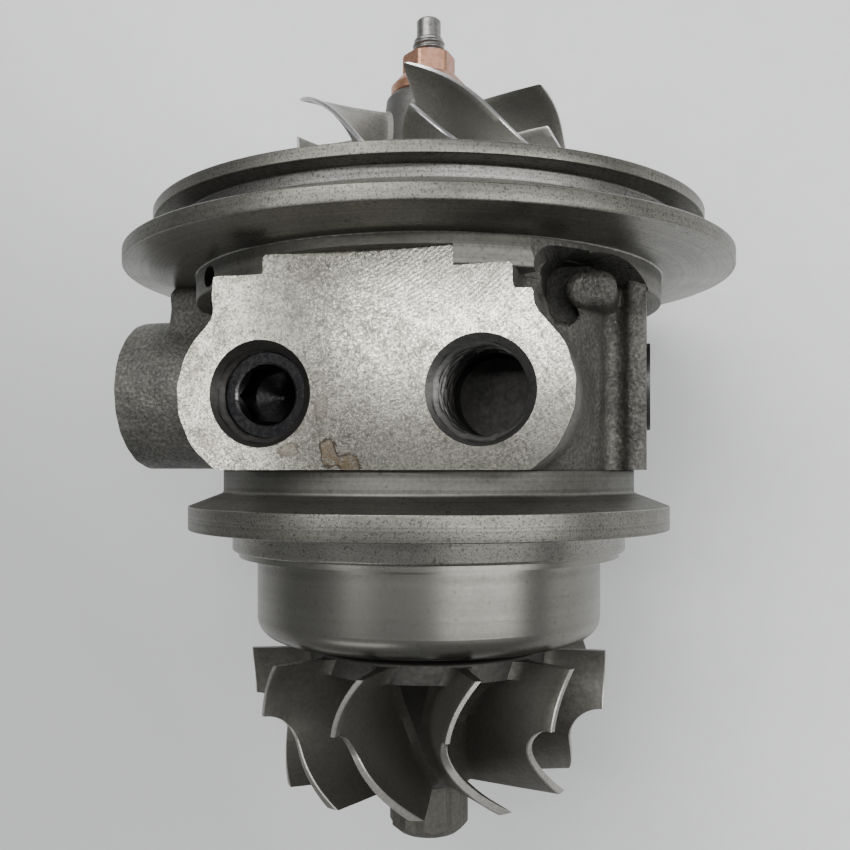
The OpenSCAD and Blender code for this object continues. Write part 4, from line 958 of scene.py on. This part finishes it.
def casting_finish(c, n):
    use = CASTING_FINISHES.index
    x, y, z = c.T
    place = np.full(len(c), use(CAST_IRON))
    pad = (np.abs(z - PAD_FACE_Z) < 0.01) & (n[:, 2] > 0.9)
    place[pad] = use(MILLED_PAD)
    faced = (np.abs(x - RIGHT_BOSS_X) < 0.01) | (np.abs(x - LEFT_BOSS_X) < 0.01)
    faced |= (np.abs(y - CASTING_LOW_Y) < 0.01) | (np.abs(z - DRAIN_FACE_Z) < 0.01)
    place[faced] = use(TURNED_DARK)
    bore = (np.hypot(np.abs(x) - PORT_X, y - PORT_Y) < 6.6) & (z > 15) & ~pad
    side = (np.hypot(y - COOLANT_Y, z) < 7.7) & (np.abs(x) > 22) & ~faced
    drain = (np.hypot(x, y - DRAIN_Y) < 8.05) & (z < -20) & ~faced
    bolts = (np.hypot(np.abs(x) - DRAIN_BOLT_X, y - DRAIN_Y) < 3.45) & (z < -30) & ~faced
    place[bore | side | drain | bolts] = use(THREAD_IRON)
    place[bore & ((x < 0) | (z < 21))] = use(OILY_BORE)
    in_pocket = np.hypot(x - POCKET_X, np.maximum(np.abs(y - POCKET_Y) - POCKET_HALF_RUN, 0)) < 2.5
    by_lug = np.hypot(np.maximum(np.abs(x - LUG_X) - LUG_HALF_RUN, 0), y - LUG_Y) < 2.65
    deep = (z > 13) & (z < 20.5)
    # Cast faces deep in the pocket take the darker cast iron as painted shade.
    place[in_pocket & ~by_lug & deep & (place == use(CAST_IRON))] = use(POCKET_SHADE_IRON)
    return place


def turned_body_finish(c, n):
    use = TURNED_FINISHES.index
    x, y, z = c.T
    rho = np.hypot(x, z)
    turn = np.degrees(np.arctan2(x, z))
    lean = np.abs(n[:, 1])
    place = np.full(len(c), use(TURNED_RIM))
    register = (rho < 33.9) & (y > -12.1) & (y < -8.2)
    place[register] = use(TURNED_DARK)
    place[register & (rho > 33.2) & (y > -9.6)] = use(SHADED_IRON)
    place[(lean < 0.35) & ((rho > 39.3) | ((rho > 34.7) & (y < -40.4)))] = use(TURNED_EDGE)
    neck = (rho < 30.2) & (y > -40) & (y < -34)
    groove = (rho > 36.0) & (rho < 39.6)
    place[neck | (groove & (y > -5.3) & (y < -2.7))] = use(SHADED_IRON)
    # The groove wall under the lip takes the lighter iron as painted light.
    place[groove & (y > -2.7) & (y < -1.1)] = use(GROOVE_LIT_IRON)
    bevel = (rho > 30.0) & (rho < 34.8) & (y > -40.55) & (y < -38.2)
    place[bevel | (rho < 27)] = use(TURNED_DARK)
    scooped = (np.abs(turn - SCALLOP_DEGREES) < 22) & (y > -12.1) & (y < -8.3) & (rho > 27.9) & (rho < 33.8)
    place[scooped & (lean < 0.999)] = use(CAST_IRON)
    place[(np.hypot(np.abs(x) - PORT_X, y - PORT_Y) < 6.6) & (z > 15)] = use(OILY_BORE)
    # In the hollow by the lug, faces below z 21 take the darker cast iron as painted shade; those above take
    # plain cast iron.
    hollow = (np.abs(x - 22.2) < 3.1) & (np.abs(y + 13.1) < 4.3) & (z > 13.5)
    place[hollow & (z < 21)] = use(POCKET_SHADE_IRON)
    place[hollow & (z >= 21)] = use(CAST_IRON)
    return place


for piece, choose in ((housing_casting, casting_finish), (housing_turned, turned_body_finish)):
    mend_cuts(piece)
    paint_faces(piece, choose)
    shade(piece, 34)

# Wheels

blade_ring = blade_ring_tree()
turbine_blades = set_round(turbine_blade(), blade_ring, 11, 18, TURBINE_ALLOY, GROUND_TIP)
hub_angle = np.radians(np.linspace(90, 0, 17))
top = TURBINE_TOP_Y
hub_low, disc_low = top - 19.4, top - 2.3
end_top, end_low = top - 20.2, top - TURBINE_LENGTH
hub_line = [(mix(TURBINE_HUB_R, TURBINE_DISC_R, 1 - math.cos(a)), mix(hub_low, disc_low, math.sin(a)), 0)
            for a in hub_angle]
turbine_hub = turn_round("turbine_hub", [
    (0, SHAFT_LOW_Y, 0), (SHAFT_HEAD_R, SHAFT_LOW_Y, 0), (SHAFT_HEAD_R, top + 1.5, 0.8),
    (8.9, top + 0.5, 0.5), (TURBINE_DISC_R, top + 0.5, 0.4), *hub_line,
    (4.8, end_top, 0.3), (0, end_top, 0)], 128)
# The hub takes the darker alloy as painted shade.
give(turbine_hub, SHADED_HUB_ALLOY)


def hub_end_radius(turn, y):
    limit = 4.6 + 8.5 * (y - end_low) / 7.6
    return np.minimum(star_radius(turn, 10.2), limit)


end_heights = [np.linspace(end_low, end_low + 1.3, 8), np.linspace(end_low + 1.6, end_top + 0.5, 12)]
hub_end = shape_round("hub_end", np.concatenate(end_heights), hub_end_radius, 240)
give(hub_end, TURBINE_ALLOY)
turbine_wheel = shade(join_pieces("turbine_wheel_dressed", [turbine_hub, hub_end, turbine_blades]), 36)

full_blades, splitter_blades = [
    set_round(compressor_blade(name, start), blade_ring, 6, first, WHEEL_ALUMINIUM, BRIGHT_ALUMINIUM)
    for name, start, first in (("full_blade", 0.0, 5), ("splitter_blade", 0.3, 35))]
hub_line = [(*compressor_hub_line(m), 0) for m in np.linspace(1, 0.04, 25)]
compressor_hub = turn_round("compressor_hub", [
    (WHEEL_BORE_R, 0.2, 0), (7.4, 0.2, 0), (8.4, 0.5, 0.3), (RIM_R, 0.5, 0.2), *hub_line, (NOSE_R, 17.7, 0),
    (6.3, 19.4, 0.4), (5.8, NUT_SEAT_Y, 0.3), (WHEEL_BORE_R, NUT_SEAT_Y, 0)], 128)
give(compressor_hub, HUB_ALUMINIUM)
compressor_parts = [compressor_hub, full_blades, splitter_blades]
compressor_wheel = shade(join_pieces("compressor_wheel_dressed", compressor_parts), 36)

# Shaft with its threaded end, and the nut


def shaft_end_radius(turn, y):
    body = np.full_like(turn, 3.0 if y < 19.0 else 2.12)
    if 19.8 < y < 28.75:
        fade = min(1.0, (28.75 - y) / 0.5)
        body = body + 0.28 * fade * thread_wave(y / 0.8 - turn / FULL_TURN)
    if y >= 28.8:
        body = np.full_like(turn, 1.8)
    if y > 31.5:
        body = np.full_like(turn, 1.8 - (y - 31.5))
    return body


shaft_heights = np.concatenate([[-13.7, 18.99, 19.0, 19.8], np.arange(19.9, 28.75, 0.08),
                                [28.78, 28.8, 31.5, 31.65, 31.8]])
shaft_end = shape_round("shaft_end", shaft_heights, shaft_end_radius, 64)
shaft_middle = turn_round("shaft_middle", [
    (0, SHAFT_LOW_Y, 0), (SHAFT_HEAD_R, SHAFT_LOW_Y, 0), (SHAFT_HEAD_R, -52.4, 0), (6.4, -52.4, 0),
    (6.4, -50.8, 0), (SHAFT_HEAD_R, -50.8, 0), (SHAFT_HEAD_R, -44.4, 0.2), (6.0, -43.4, 0.2),
    (4.0, -41.9, 0.3), (4.0, -13.7, 0.2), (0, -13.7, 0)], 96)
give(shaft_end, SHAFT_STEEL)
give(shaft_middle, SHAFT_STEEL)
rotor_shaft = shade(join_pieces("shaft_with_thread", [shaft_middle, shaft_end]), 40)


def nut_radius(turn, y):
    corner = NUT_HALF_ACROSS / math.cos(math.pi / 6)
    part = np.mod(turn - math.radians(51.5), math.pi / 3) - math.pi / 6
    flats = np.minimum(NUT_HALF_ACROSS / np.cos(part), corner - 0.12)
    if y < 21.45:
        return np.full_like(turn, min(NUT_FLANGE_R, NUT_FLANGE_R - 0.3 + (y - NUT_SEAT_Y)))
    if y < 22.9:
        slope = (NUT_FLANGE_R - corner - 0.3) / 1.45
        return np.maximum(NUT_FLANGE_R - slope * (y - 21.45), flats)
    return np.minimum(flats, corner - 0.3 + (NUT_TOP_Y - y))


nut_heights = np.concatenate([[NUT_SEAT_Y, 20.15, 20.3, 20.8, 21.44, 21.46, 21.9, 22.4, 22.89, 22.9],
                              np.linspace(23.0, 25.7, 8), np.linspace(25.8, NUT_TOP_Y, 6)])
shaft_nut = shape_round("nut_copper", nut_heights, nut_radius, 180, 2.42)
give(shaft_nut, COPPER_NUT)
shade(shaft_nut, 30)

# Finishes of the solids that stay, by sub-part
STAYING = {
    BLACK_PLUG: ("port_plug",),
    SHIELD_STEEL: ("heat_shield", "oil_deflector"),
    PLATE_ALUMINIUM: ("seal_plate",),
    SEAL_RUBBER: ("seal_plate_o_ring",),
    BRONZE: ("thrust_bearing", "journal_bearing_turbine", "journal_bearing_compressor"),
    SHAFT_STEEL: ("thrust_collar", "oil_flinger"),
    SPRING_STEEL: ("coolant_plug", "seal_plate_snap_ring", "thrust_bearing_screws",
                   "bearing_ring_turbine_end", "bearing_ring_turbine_inner", "bearing_ring_compressor_inner",
                   "turbine_piston_ring", "compressor_piston_ring")}
for finish, names in STAYING.items():
    for name in names:
        for place in solids[name].material_slots:
            place.material = finish

for piece, body, node, finish_slot in ((housing_casting, "housing", "bearing_housing", "cast_iron"),
                                       (housing_turned, "housing", "bearing_housing", "cast_iron"),
                                       (turbine_wheel, "rotor", "turbine_wheel", "turbine_alloy"),
                                       (compressor_wheel, "rotor", "compressor_wheel", "cast_aluminium"),
                                       (rotor_shaft, "rotor", "rotor_shaft", "shaft_steel"),
                                       (shaft_nut, "rotor", "shaft_nut", "copper_plate")):
    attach(piece, body)
    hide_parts(node)

# Floor, light and camera
floor_corners = [(1500 * x, 1500 * y, DRAIN_FACE_Z) for x, y in ((-1, -1), (1, -1), (1, 1), (-1, 1))]
floor = make_piece("table", floor_corners, [(0, 1, 2, 3)])
give(floor, floor_finish())


def soft_lamp(name, turn, along, distance, width, length, power):
    """A soft lamp at a turn round the shaft from the pad's direction, facing the shaft."""
    lamp = bpy.data.lights.new(name, "AREA")
    lamp.shape = "RECTANGLE"
    lamp.size, lamp.size_y = width * MILLIMETRE, length * MILLIMETRE
    lamp.energy = power
    holder = bpy.data.objects.new(name, lamp)
    a = math.radians(turn)
    out = Vector((math.sin(a), 0, math.cos(a)))
    holder.matrix_world = Matrix((
        (math.cos(a), 0, out.x, out.x * distance * MILLIMETRE), (0, 1, 0, along * MILLIMETRE),
        (-math.sin(a), 0, out.z, out.z * distance * MILLIMETRE), (0, 0, 0, 1)))
    bpy.context.scene.collection.objects.link(holder)
    return holder


for lamp_values in (("lamp_right", 46, 22, 640, 600, 354, 3.16),
                    ("lamp_left", -32, 40, 640, 190, 230, 0.66),
                    ("lamp_strip", 3, 76, 640, 480, 44, 1.05),
                    ("lamp_over", -12, 460, 800, 700, 400, 6.9),
                    ("lamp_low", -34, -440, 520, 420, 200, 0.5)):
    soft_lamp(*lamp_values)

room = bpy.data.worlds.new("soft_room")
room.use_nodes = True
room_light = room.node_tree.nodes["Background"].inputs
room_light["Color"].default_value = (0.86, 0.88, 0.9, 1)
room_light["Strength"].default_value = 0.36
bpy.context.scene.world = room

CAMERA_TURN = math.radians(13.25)
CAMERA_FAR = 0.142
CAMERA_Y = -0.0355
camera_data = bpy.data.cameras.new("camera")
camera_data.sensor_width = 36
camera_data.lens = 40.15
camera_data.shift_x = -0.0045
camera_data.shift_y = 0.053
camera_data.clip_start, camera_data.clip_end = 0.005, 20
camera = bpy.data.objects.new("camera", camera_data)
s, c = math.sin(CAMERA_TURN), math.cos(CAMERA_TURN)
camera.matrix_world = Matrix(((c, 0, s, CAMERA_FAR * s), (0, 1, 0, CAMERA_Y), (-s, 0, c, CAMERA_FAR * c),
                              (0, 0, 0, 1)))
bpy.context.scene.collection.objects.link(camera)
bpy.context.scene.camera = camera
